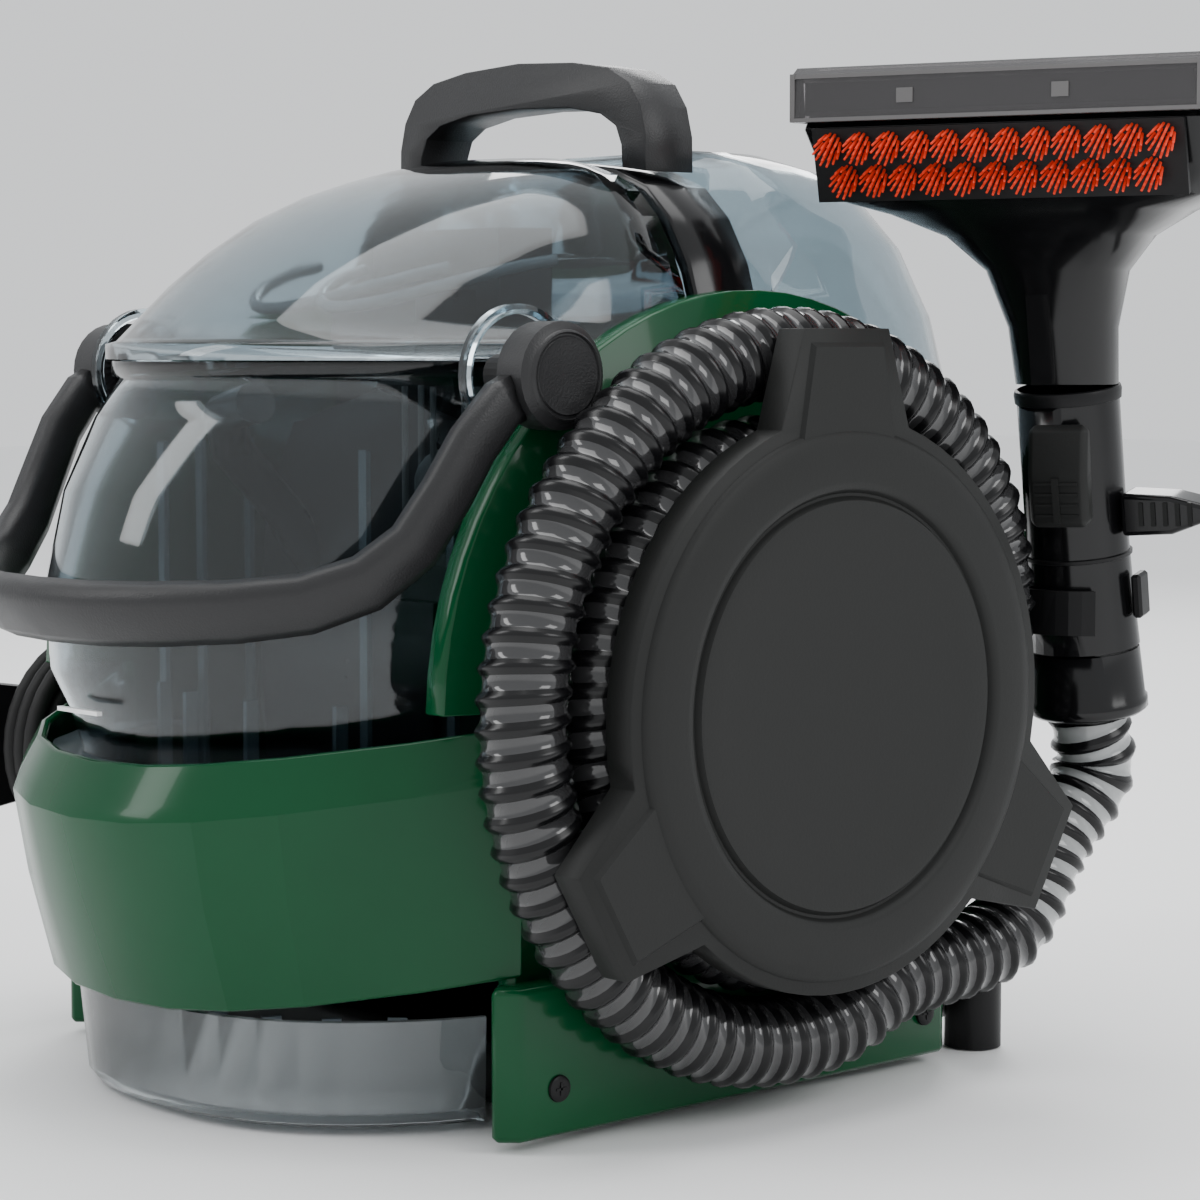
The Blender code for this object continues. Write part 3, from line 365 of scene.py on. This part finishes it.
def ribbed_hose():
    """A tube with a raised spiral rib; its rows of points follow the rib, so its edges stay clean."""
    points = hose_points()
    across = WAND_X.copy()
    frames = []
    for index, point in enumerate(points):
        along = (points[min(index + 1, len(points) - 1)] - points[max(index - 1, 0)]).normalized()
        across = (across - along * across.dot(along)).normalized()
        frames.append((point, across.copy(), along.cross(across)))
    last = len(points) - 1
    row_step = length_of(points[:2])
    sides = 24
    shape = bmesh.new()
    rows = {}
    for row in range(-ROWS_PER_PITCH, last + 1):
        phase = (row / ROWS_PER_PITCH) % 1.0
        lift = max(0.0, 1 - abs(phase - 0.5) / 0.26) ** 0.45
        radius = HOSE_RADIUS - RIB_HEIGHT * (1 - lift)
        corners = []
        for k in range(sides):
            place = min(last, max(0.0, row + ROWS_PER_PITCH * k / sides))
            lower = min(last - 1, int(place))
            share = place - lower
            point = frames[lower][0].lerp(frames[lower + 1][0], share)
            side = frames[lower][1].lerp(frames[lower + 1][1], share)
            up = frames[lower][2].lerp(frames[lower + 1][2], share)
            angle = 2 * math.pi * k / sides
            reach = HOSE_RADIUS - RIB_HEIGHT if place in (0.0, last) else radius
            corners.append(shape.verts.new(point + (side * math.cos(angle) + up * math.sin(angle)) * reach))
        rows[row] = corners
    for row in range(-ROWS_PER_PITCH, last):
        phase = ((row + 0.5) / ROWS_PER_PITCH) % 1.0
        for k in range(sides):
            if k < sides - 1:
                ring = (rows[row][k], rows[row][k + 1], rows[row + 1][k + 1], rows[row + 1][k])
            elif row + ROWS_PER_PITCH + 1 <= last:
                ring = (rows[row][k], rows[row + ROWS_PER_PITCH][0], rows[row + ROWS_PER_PITCH + 1][0],
                        rows[row + 1][k])
            else:
                continue
            face = shape.faces.new(ring)
            if abs(phase - 0.5) < RIB_SHARE:
                face.material_index = RIB_SLOT
            else:
                face.material_index = LIT_SLOT if row * row_step < LIT_LENGTH else WALL_SLOT
    bmesh.ops.remove_doubles(shape, verts=shape.verts, dist=0.000002)
    bmesh.ops.holes_fill(shape, edges=[edge for edge in shape.edges if edge.is_boundary], sides=0)
    item = piece("ribbed_hose", shape, HOSE_WALL, "body", 80.0)
    item.data.materials.append(HOSE_RIB)
    item.data.materials.append(HOSE_LIGHT)
    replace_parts(item, "suction_hose")


ribbed_hose()

# ---------------------------------------------------------------- mains cord

HOOK_Z = 0.106
HOOK_FRONT_Y = -0.075
HOOK_REAR_Y = 0.055
LAYERS = (0.028, 0.035, 0.042)
COLUMNS = (-0.140, -0.147, -0.154)
CORD_TAIL_BEND = at(-0.1470, 0.0400, 0.1590)
CORD_TAIL_END = at(-0.1470, 0.0600, 0.1640)
PLUG_REACH = 0.0503
CORD_DIAMETER = 0.0068


def winding():
    """Centre line from the strain relief, round both hooks in three layers, to the plug."""
    route = [at(-0.0800, 0.1476, 0.0560), at(-0.0806, 0.1620, 0.0562), at(-0.0920, 0.1780, 0.0565),
             at(-0.1120, 0.1740, 0.0570), at(-0.1250, 0.1480, 0.0590), at(-0.1290, 0.1150, 0.0640),
             at(-0.1300, 0.0850, 0.0710), at(-0.1340, 0.0600, 0.0760)]
    line = smooth_route(route, 0.006)
    turns = []
    for index, radius in enumerate(LAYERS):
        columns = COLUMNS if index % 2 == 0 else COLUMNS[::-1]
        turns += [(radius, column) for column in columns]
    for index, (radius, column) in enumerate(turns):
        last = index == len(turns) - 1
        for k in range(12):
            y = 0.030 + (HOOK_FRONT_Y - 0.030) * k / 12
            line.append(at(column, y, HOOK_Z - radius))
        for k in range(19):
            angle = math.radians(270.0 - 10.0 * k)
            y = HOOK_FRONT_Y + radius * math.cos(angle)
            line.append(at(column, y, HOOK_Z + radius * math.sin(angle)))
        if last:
            break
        for k in range(1, 16):
            y = HOOK_FRONT_Y + (HOOK_REAR_Y - HOOK_FRONT_Y) * k / 16
            line.append(at(column, y, HOOK_Z + radius))
        following, beyond = turns[index + 1]
        for k in range(19):
            angle = math.radians(90.0 - 10.0 * k)
            share = max(0.0, (k - 10) / 8) * 0.5
            r = radius + (following - radius) * share
            x = column + (beyond - column) * share
            line.append(at(x, HOOK_REAR_Y + r * math.cos(angle), HOOK_Z + r * math.sin(angle)))
        for k in range(1, 4):
            share = 0.5 + 0.5 * k / 4
            line.append(at(column + (beyond - column) * share, HOOK_REAR_Y - 0.025 * k / 4,
                           HOOK_Z - (radius + (following - radius) * share)))
    tail = [line[-1], at(-0.1530, -0.0450, 0.1500), at(-0.1480, -0.0100, 0.1550),
            at(-0.1470, 0.0150, 0.1556), CORD_TAIL_BEND, CORD_TAIL_END]
    line += smooth_route(tail, 0.006)[1:]
    return line


def cord_curve():
    points = winding()
    curve = bpy.data.curves.new("wound_cord", "CURVE")
    curve.dimensions = "3D"
    curve.bevel_depth = CORD_DIAMETER / 2
    curve.bevel_resolution = 3
    curve.use_fill_caps = True
    spline = curve.splines.new("POLY")
    spline.points.add(len(points) - 1)
    for point, place in zip(spline.points, points):
        point.co = (*place, 1.0)
    curve.materials.append(RUBBER)
    item = bpy.data.objects.new("wound_cord", curve)
    bpy.context.scene.collection.objects.link(item)
    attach(item, "body")
    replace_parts(item, "cord_hank", "cord_lead", "cord_tail")
    skin("mains_plug")
    plug_blades(points)


def plug_blades(points):
    """Two flat blades and a round earth pin."""
    forward = (CORD_TAIL_END - CORD_TAIL_BEND).normalized()
    side = Vector((1.0, 0.0, 0.0))
    up = forward.cross(side)
    tip = points[-1] + forward * PLUG_REACH
    place = Matrix.Translation(tip) @ Matrix((side, up, forward)).transposed().to_4x4()
    shape = bmesh.new()
    for x in (-0.0063, 0.0063):
        add_box(shape, (x - 0.0008, -0.0020, -0.001), (x + 0.0008, 0.0042, 0.0160), place)
    add_rod(shape, (0.0, -0.0070, -0.001), (0.0, -0.0070, 0.0180), 0.0023, matrix=place)
    return piece("plug_blades", shape, BRASS, "body")


cord_curve()

# ---------------------------------------------------------------- smooth skins of the CAD bodies

for node, angle, edge in (
        ("front_band", 16.0, 0.0006), ("side_wall_right", 30.0, 0.0), ("side_wall_left", 30.0, 0.0),
        ("side_skirt_right", 30.0, 0.0006), ("side_skirt_left", 30.0, 0.0006), ("arch_frame", 40.0, 0.0),
        ("carry_handle", 60.0, 0.0010), ("bail_handle", 55.0, 0.0), ("bail_hub_right", 30.0, 0.0),
        ("bail_hub_left", 30.0, 0.0), ("clean_tank", 40.0, 0.0), ("recovery_tank", 42.0, 0.0),
        ("tank_lid", 38.0, 0.0), ("front_skirt", 40.0, 0.0), ("hose_drum", 30.0, 0.0),
        ("wand_handle", 30.0, 0.0),
        ("hose_cuff", 30.0, 0.0), ("tool_head", 32.0, 0.0008), ("wand_trigger", 30.0, 0.0006),
        ("rear_housing", 30.0, 0.0010), ("cord_hook_front", 30.0, 0.0), ("cord_hook_rear", 30.0, 0.0),
        ("rear_stop_left", 30.0, 0.0), ("rear_stop_right", 30.0, 0.0), ("float_ball", 50.0, 0.0),
        ("foot_front_left", 30.0, 0.0008), ("foot_front_right", 30.0, 0.0008),
        ("foot_rear_left", 30.0, 0.0008),
        ("foot_rear_right", 30.0, 0.0008), ("vacuum_motor", 30.0, 0.0), ("chassis_base", 30.0, 0.0008),
        ("cord_strain_relief", 30.0, 0.0), ("wand_dock", 30.0, 0.0005)):
    skin(node, angle, edge)


# ---------------------------------------------------------------- hose cover

DISC_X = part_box("hose_cover")[1].x
DISC_PLACE = (Matrix.Translation(Vector((DISC_X, COIL.y - 0.0010, COIL.z)))
              @ Matrix.Rotation(math.radians(90), 4, "Y"))


def disc_face():
    """Dished face with a round groove, a step at the rim and a shallow centre."""
    shape = bmesh.new()
    profile = [
        (0.0, 0.0006), (0.0200, 0.0007), (0.0400, 0.0012), (0.0580, 0.0020), (0.0660, 0.0025),
        (0.0676, 0.0024), (0.0684, 0.0012), (0.0690, 0.0004), (0.0700, 0.0004), (0.0708, 0.0014),
        (0.0716, 0.0026), (0.0740, 0.0029), (0.0850, 0.0026), (0.0890, 0.0020), (0.0908, 0.0010),
        (0.0914, -0.0008), (0.0, -0.0008)]
    add_turned(shape, profile, DISC_PLACE, 120)
    piece("disc_face", shape, CHARCOAL, "body", 50.0)
    shape = bmesh.new()
    for angle in (90.0, 210.0, 330.0):
        turn = DISC_PLACE @ Matrix.Rotation(math.radians(angle - 90.0), 4, "Z")
        outline = [(-0.0835, -0.0235), (-0.1195, -0.0175), (-0.1195, 0.0175), (-0.0835, 0.0235)]
        inner = [(-0.0860, -0.0215), (-0.1175, -0.0158), (-0.1175, 0.0158), (-0.0860, 0.0215)]
        low = [shape.verts.new(turn @ Vector((x, y, -0.0006))) for x, y in outline]
        high = [shape.verts.new(turn @ Vector((x, y, 0.0014))) for x, y in inner]
        for k in range(4):
            j = (k + 1) % 4
            shape.faces.new((low[k], low[j], high[j], high[k]))
        shape.faces.new(low)
        shape.faces.new(high)
    piece("disc_tab_pads", shape, CHARCOAL, "body", 30.0)


def rear_rim():
    """The green rim's short thick end behind the hose, next to the wand."""
    shape = bmesh.new()
    outline = []
    for radius, angles in ((0.1388, range(14, 39, 3)), (0.1315, range(38, 13, -3))):
        for degrees in angles:
            angle = math.radians(degrees)
            outline.append((0.013 + radius * math.cos(angle), 0.140 + radius * math.sin(angle)))
    add_prism(shape, outline, 0.1075, 0.1275, Matrix.Translation(SHIFT), order=(1, 2, 0))
    piece("rear_rim_end", shape, GREEN, "body", 30.0)


skin("hose_cover", 30.0, 0.0)
disc_face()
rear_rim()


# ---------------------------------------------------------------- front tank

def tank_half_width(depth_share, half_width, power=2.15):
    return half_width * max(0.0, 1 - depth_share ** power) ** (1 / power)


def tank_fittings():
    """Ribs, the air duct, boss rings and the level bar of the front tank."""
    shape = bmesh.new()
    for side in (-1, 1):
        for y in (-0.030, -0.058, -0.086, -0.112):
            x = side * (tank_half_width(-y / 0.150, 0.0950) - 0.0075)
            add_box(shape, at(x - 0.0020, y - 0.0010, 0.056), at(x + 0.0020, y + 0.0010, 0.2250))
    for x in (-0.052, -0.018, 0.018, 0.052):
        y = -0.1380 + abs(x) * 0.35
        add_box(shape, at(x - 0.0010, y, 0.056), at(x + 0.0010, y + 0.0050, 0.140))
    piece("tank_ribs", shape, RIB, "recovery_tank", 30.0)
    shape = bmesh.new()
    add_box(shape, at(-0.0330, -0.0620, 0.0600), at(0.0330, -0.0480, 0.1700))
    add_box(shape, at(-0.0560, -0.1050, 0.0500), at(0.0560, -0.0480, 0.0560))
    add_path(shape, [at(-0.040, -0.050, 0.170), at(-0.044, -0.070, 0.200), at(-0.040, -0.095, 0.222),
                     at(-0.020, -0.112, 0.236), at(0.004, -0.116, 0.240)], 0.0075, 14)
    riser = [at(0.040, -0.036, 0.060), at(0.042, -0.036, 0.140), at(0.044, -0.040, 0.236)]
    add_path(shape, riser, 0.0085, 14)
    panel = [(-0.066, 0.0565), (0.066, 0.0565), (0.072, 0.1500), (0.068, 0.2000), (0.050, 0.2320),
             (0.0, 0.2440), (-0.050, 0.2320), (-0.068, 0.2000), (-0.072, 0.1500)]
    add_prism(shape, panel, -0.0600, -0.0570, Matrix.Translation(SHIFT), order=(0, 2, 1))
    piece("tank_duct_details", shape, DARK, "recovery_tank", 30.0)
    shape = bmesh.new()
    for side in (-1, 1):
        place = (Matrix.Translation(at(side * 0.1046, -0.086, 0.250))
                 @ Matrix.Rotation(side * math.radians(90), 4, "Y"))
        ring = [(0.0200, 0.0), (0.0200, 0.0034), (0.0215, 0.0044), (0.0232, 0.0034), (0.0232, 0.0)]
        add_turned(shape, ring, place, 40)
    piece("boss_rings", shape, CLEAR, "recovery_tank", 40.0)
    shape = bmesh.new()
    add_box(shape, at(-0.0160, -0.1842, 0.1378), at(0.0080, -0.1822, 0.1392))
    piece("level_bar", shape, WHITE, "recovery_tank")
    shape = bmesh.new()
    place = Matrix.Translation(at(0.058, -0.075, 0.0))
    for k in range(6):
        angle = math.radians(60 * k)
        x, y = 0.0150 * math.cos(angle), 0.0150 * math.sin(angle)
        add_rod(shape, (x, y, 0.190), (x, y, 0.246), 0.0011, sides=8, matrix=place)
    add_turned(shape, [(0.0138, 0.186), (0.0162, 0.186), (0.0162, 0.190), (0.0138, 0.190)], place, 32)
    piece("float_cage", shape, GREY, "recovery_tank")


def lid_baffles():
    """Two long curved ribs and a rear box inside the dome."""
    shape = bmesh.new()
    for side in (-1, 1):
        points = []
        for k in range(15):
            angle = math.radians(18 + 9.6 * k)
            x = side * (0.020 + 0.050 * math.cos(angle))
            y = -0.014 - 0.078 * math.sin(angle) ** 1.1
            points.append(at(x, y, 0.2720 + 0.018 * math.cos(angle) ** 2))
        add_path(shape, points, 0.0022, 8)
    piece("lid_ribs", shape, RIB, "tank_lid", 60.0)
    shape = bmesh.new()
    add_box(shape, at(-0.0360, -0.0340, 0.2630), at(0.0360, -0.0090, 0.3000))
    add_box(shape, at(-0.0240, -0.0620, 0.2630), at(0.0240, -0.0345, 0.2780))
    piece("lid_air_box", shape, DARK, "tank_lid", 30.0)


def rear_tank_details():
    """Filler boss and inner ribs of the rear tank."""
    shape = bmesh.new()
    for x in (-0.060, -0.020, 0.020, 0.060):
        add_box(shape, at(x - 0.0010, 0.046, 0.2210), at(x + 0.0010, 0.115, 0.2480))
    add_rod(shape, at(-0.040, 0.080, 0.2200), at(-0.040, 0.080, 0.2700), 0.0060)
    piece("rear_tank_ribs", shape, RIB, "body")


FLANGE_OUTER = ((0.0, -0.1765), (0.0257, -0.1744), (0.0478, -0.1669), (0.0689, -0.1521), (0.0935, -0.1224))


def tank_flange():
    """A rim on the tank that fills the space inside the green band's top edge."""
    left = [(-x, y) for x, y in FLANGE_OUTER[:0:-1]]
    outline = left + list(FLANGE_OUTER)
    for k in range(17):
        x = 0.0935 - 0.1870 * k / 16
        outline.append((x, -0.0030 - tank_half_width(abs(x) / 0.1015, 0.1655)))
    shape = bmesh.new()
    add_prism(shape, outline, 0.1185, 0.1205, Matrix.Translation(SHIFT))
    piece("tank_flange", shape, RIB, "recovery_tank", 30.0)


def hub_faces():
    """A shallow dish and a fine groove on the outer face of each hub cap."""
    for name, side in (("bail_hub_right", 1), ("bail_hub_left", -1)):
        low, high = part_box(name)
        face = Vector((high.x if side > 0 else low.x, (low.y + high.y) / 2, (low.z + high.z) / 2))
        place = Matrix.Translation(face) @ Matrix.Rotation(side * math.radians(90), 4, "Y")
        shape = bmesh.new()
        profile = [(0.0, 0.0003), (0.0110, 0.0005), (0.0124, 0.0009), (0.0129, 0.0002), (0.0135, 0.0002),
                   (0.0140, 0.0010), (0.0147, 0.0006), (0.0150, -0.0004), (0.0, -0.0004)]
        add_turned(shape, profile, place, 48)
        piece(name + "_face", shape, HANDLE, "bail", 50.0)


tank_fittings()
tank_flange()
hub_faces()
lid_baffles()
rear_tank_details()


def skirt_ribs():
    """Upright ribs and a slanted strut behind the clear skirt."""
    shape = bmesh.new()
    for k in range(9):
        angle = math.pi * (0.24 + 0.52 * k / 8)
        x = 0.1010 * math.copysign(abs(math.cos(angle)) ** 0.8, math.cos(angle))
        y = -0.1510 * abs(math.sin(angle)) ** 0.8
        place = Matrix.Translation(at(x, y, 0.0)) @ Matrix.Rotation(angle + math.pi, 4, "Z")
        add_box(shape, (-0.0010, -0.0009, 0.0085), (0.0055, 0.0009, 0.0380), place)
    add_path(shape, [at(0.060, -0.1310, 0.010), at(0.082, -0.1130, 0.036)], 0.0020, 8)
    piece("skirt_ribs", shape, RIB, "body")


skirt_ribs()


# ---------------------------------------------------------------- wand and tool head

def wand_details():
    shape = bmesh.new()
    outline = [(0.0196, 0.0665), (0.0380, 0.0672), (0.0500, 0.0715), (0.0532, 0.0755), (0.0500, 0.0782),
               (0.0380, 0.0812), (0.0196, 0.0822)]
    add_prism(shape, outline, -0.0078, 0.0078, WAND, order=(0, 2, 1))
    hook = piece("hook_lever", shape, GLOSS, "body", 30.0)
    rounded = hook.modifiers.new("edges", "BEVEL")
    rounded.width = 0.0018
    rounded.segments = 3
    rounded.limit_method = "ANGLE"
    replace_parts(hook, "wand_hook")
    shape = bmesh.new()
    for k in range(5):
        x = 0.0265 + 0.0045 * k
        add_box(shape, (x, -0.0084, 0.0705), (x + 0.0016, -0.0074, 0.0790), WAND)
    piece("hook_grooves", shape, CHARCOAL, "body")
    shape = bmesh.new()
    add_box(shape, (0.0028, -0.0308, 0.0760), (0.0052, -0.0288, 0.0920), WAND)
    for k in range(4):
        add_box(shape, (-0.0040, -0.0300, 0.0780 + 0.0038 * k), (0.0120, -0.0290, 0.0790 + 0.0038 * k), WAND)
    piece("trigger_ridge", shape, CHARCOAL, "wand_trigger")
    shape = bmesh.new()
    collar = [(0.0180, 0.1150), (0.0191, 0.1154), (0.0194, 0.1185), (0.0190, 0.1199), (0.0180, 0.1203)]
    add_turned(shape, collar, WAND, 48)
    add_turned(shape, [(0.0186, 0.0580), (0.0196, 0.0584), (0.0197, 0.0596), (0.0186, 0.0600)], WAND, 48)
    piece("wand_seams", shape, BLACK, "body")
    shape = bmesh.new()
    add_box(shape, (-0.0060, -0.0205, 0.1240), (0.0020, -0.0180, 0.1560), WAND)
    piece("neck_channel", shape, GLOSS, "tool_head")


# Tufts in the row, height of the row's feet and the row's length
BRUSH_ROWS = ((12, 0.2045, 0.1200), (11, 0.1935, 0.1100))
TUFT_SPACING = 0.00150
HEAD_SHIFT_X = -0.2200 * 0.0262


def brush():
    """A black plate with two staggered rows of fat tufts pointing forwards and down."""
    low_point = Vector((0.0, -0.0790, 0.1845))
    high_point = Vector((0.0, -0.0862, 0.2085))
    face = (high_point - low_point).normalized()
    out = Vector((0.0, -math.cos(0.62), -math.sin(0.62)))
    shift_x = HEAD_SHIFT_X
    shape = bmesh.new()
    outline = [(low_point.y, low_point.z), (high_point.y, high_point.z),
               (high_point.y - 0.0016, high_point.z), (low_point.y - 0.0018, low_point.z - 0.0010)]
    add_prism(shape, outline, shift_x - 0.0670, shift_x + 0.0670, HEAD, order=(1, 2, 0))
    plate = piece("brush_plate", shape, BLACK, "tool_head")
    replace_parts(plate, "brush_block")
    shape = bmesh.new()
    for count, height, span in BRUSH_ROWS:
        share = (height - low_point.z) / (high_point.z - low_point.z)
        foot = low_point.lerp(high_point, share)
        for tuft in range(count):
            x = shift_x - span / 2 + span * tuft / (count - 1)
            for k in range(19):
                ring = 0 if k == 0 else (1 if k < 7 else 2)
                angle = 2 * math.pi * k / (6 if ring == 1 else 12)
                across = TUFT_SPACING * ring * math.cos(angle)
                along = TUFT_SPACING * ring * math.sin(angle)
                start = Vector((x + across, foot.y, foot.z)) + face * along
                reach = 0.0098 - 0.0009 * ring + 0.0005 * math.sin(5.0 * k + 3.0 * tuft)
                end = start + out * reach + Vector((across * 0.55, 0, 0)) + face * along * 0.55
                add_rod(shape, start, end, 0.00058, 0.00042, sides=5, matrix=HEAD)
    piece("bristle_tufts", shape, BRISTLE, "tool_head", 60.0)


def visor_trim():
    """Bright lips round the dark window of the visor."""
    shift_x = HEAD_SHIFT_X
    shape = bmesh.new()
    add_box(shape, (shift_x - 0.0736, -0.0906, 0.2258), (shift_x + 0.0736, -0.0850, 0.2272), HEAD)
    add_box(shape, (shift_x - 0.0736, -0.0912, 0.2108), (shift_x + 0.0736, -0.0872, 0.2122), HEAD)
    for x in (-0.0740, 0.0722):
        add_box(shape, (shift_x + x, -0.0908, 0.2110), (shift_x + x + 0.0018, -0.0800, 0.2275), HEAD)
    piece("visor_lips", shape, VISOR_EDGE, "tool_head")
    shape = bmesh.new()
    for x in (-0.034, 0.022):
        add_box(shape, (shift_x + x, -0.0908, 0.2165), (shift_x + x + 0.0060, -0.0890, 0.2215), HEAD)
    piece("visor_windows", shape, VISOR_EDGE, "tool_head")
    shape = bmesh.new()
    add_box(shape, (shift_x - 0.0700, -0.0848, 0.2135), (shift_x + 0.0700, -0.0838, 0.2245), HEAD)
    piece("visor_shade", shape, DARK, "tool_head")


wand_details()
brush()
visor_trim()


# ---------------------------------------------------------------- small hardware

def screw_heads():
    """Cross-recessed screws standing for the skirt's plain studs."""
    for name in ("skirt_screw_1", "skirt_screw_2"):
        low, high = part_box(name)
        place = (Matrix.Translation(Vector((low.x, (low.y + high.y) / 2, (low.z + high.z) / 2)))
                 @ Matrix.Rotation(math.radians(90), 4, "Y"))
        shape = bmesh.new()
        profile = [(0.0, 0.0010), (0.0016, 0.0012), (0.0034, 0.0013), (0.0043, 0.0008),
                   (0.0045, 0.0), (0.0, 0.0)]
        add_turned(shape, profile, place, 24)
        add_box(shape, (-0.0022, -0.0004, 0.0009), (0.0022, 0.0004, 0.0015), place)
        add_box(shape, (-0.0004, -0.0022, 0.0009), (0.0004, 0.0022, 0.0015), place)
        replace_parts(piece(name + "_head", shape, BLACK, "body"), name)


def fan_vanes():
    shape = bmesh.new()
    low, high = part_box("fan_impeller")
    centre = (low + high) / 2
    for k in range(12):
        place = (Matrix.Translation(Vector((centre.x, centre.y, high.z - 0.0021)))
                 @ Matrix.Rotation(math.radians(30 * k), 4, "Z"))
        add_box(shape, (0.0160, -0.0006, 0.0), (0.0420, 0.0006, 0.0050), place)
    piece("fan_vanes", shape, GREY, "fan")


def hook_grips():
    """Raised rims on the two cord hooks' plates."""
    for name in ("cord_hook_front_plate", "cord_hook_rear_plate"):
        low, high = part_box(name)
        shape = bmesh.new()
        middle_z = (low.z + high.z) / 2
        for k in range(4):
            y = low.y + (high.y - low.y) * (0.28 + 0.13 * k)
            corner = (low.x - 0.0008, y, middle_z - 0.010)
            add_box(shape, corner, (low.x + 0.0006, y + 0.0022, middle_z + 0.010))
        piece(name + "_ribs", shape, BLACK, BODY_OF[name])


def housing_vents():
    """Louvres on the back of the rear housing, over the motor."""
    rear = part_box("rear_housing")[1].y
    shape = bmesh.new()
    for k in range(9):
        z = 0.0700 + 0.0070 * k
        add_box(shape, (SHIFT.x - 0.010, rear - 0.0004, z), (SHIFT.x + 0.060, rear + 0.0012, z + 0.0028))
    piece("rear_louvres", shape, CHARCOAL, "body")


screw_heads()
fan_vanes()
hook_grips()
housing_vents()


# ---------------------------------------------------------------- stage and light

def stage():
    shape = bmesh.new()
    bmesh.ops.create_grid(shape, x_segments=1, y_segments=1, size=6.0)
    mesh = bpy.data.meshes.new("floor")
    shape.to_mesh(mesh)
    shape.free()
    floor = bpy.data.objects.new("floor", mesh)
    bpy.context.scene.collection.objects.link(floor)
    mesh.materials.append(FLOOR)


def area_light(name, place, target, size, power, size_y=None):
    data = bpy.data.lights.new(name, "AREA")
    data.energy = power
    data.shape = "RECTANGLE"
    data.size = size
    data.size_y = size_y or size
    light = bpy.data.objects.new(name, data)
    bpy.context.scene.collection.objects.link(light)
    light.location = place
    light.rotation_euler = (Vector(target) - Vector(place)).to_track_quat("-Z", "Y").to_euler()


stage()
area_light("key", (-0.9, -1.5, 1.3), (0, 0, 0.15), 0.5, 12.0, 1.3)
area_light("fill", (1.7, 0.5, 1.2), (0, 0, 0.15), 0.9, 12.0)
area_light("top", (0.0, 0.0, 1.9), (0, 0, 0.1), 1.4, 22.0)
area_light("back", (-1.2, 1.4, 1.2), (0, 0, 0.2), 0.8, 12.0)
world = bpy.data.worlds.new("studio")
bpy.context.scene.world = world
world.use_nodes = True
world.node_tree.nodes["Background"].inputs["Color"].default_value = (0.96, 0.98, 1.0, 1.0)
world.node_tree.nodes["Background"].inputs["Strength"].default_value = 1.05

bpy.context.view_layer.update()
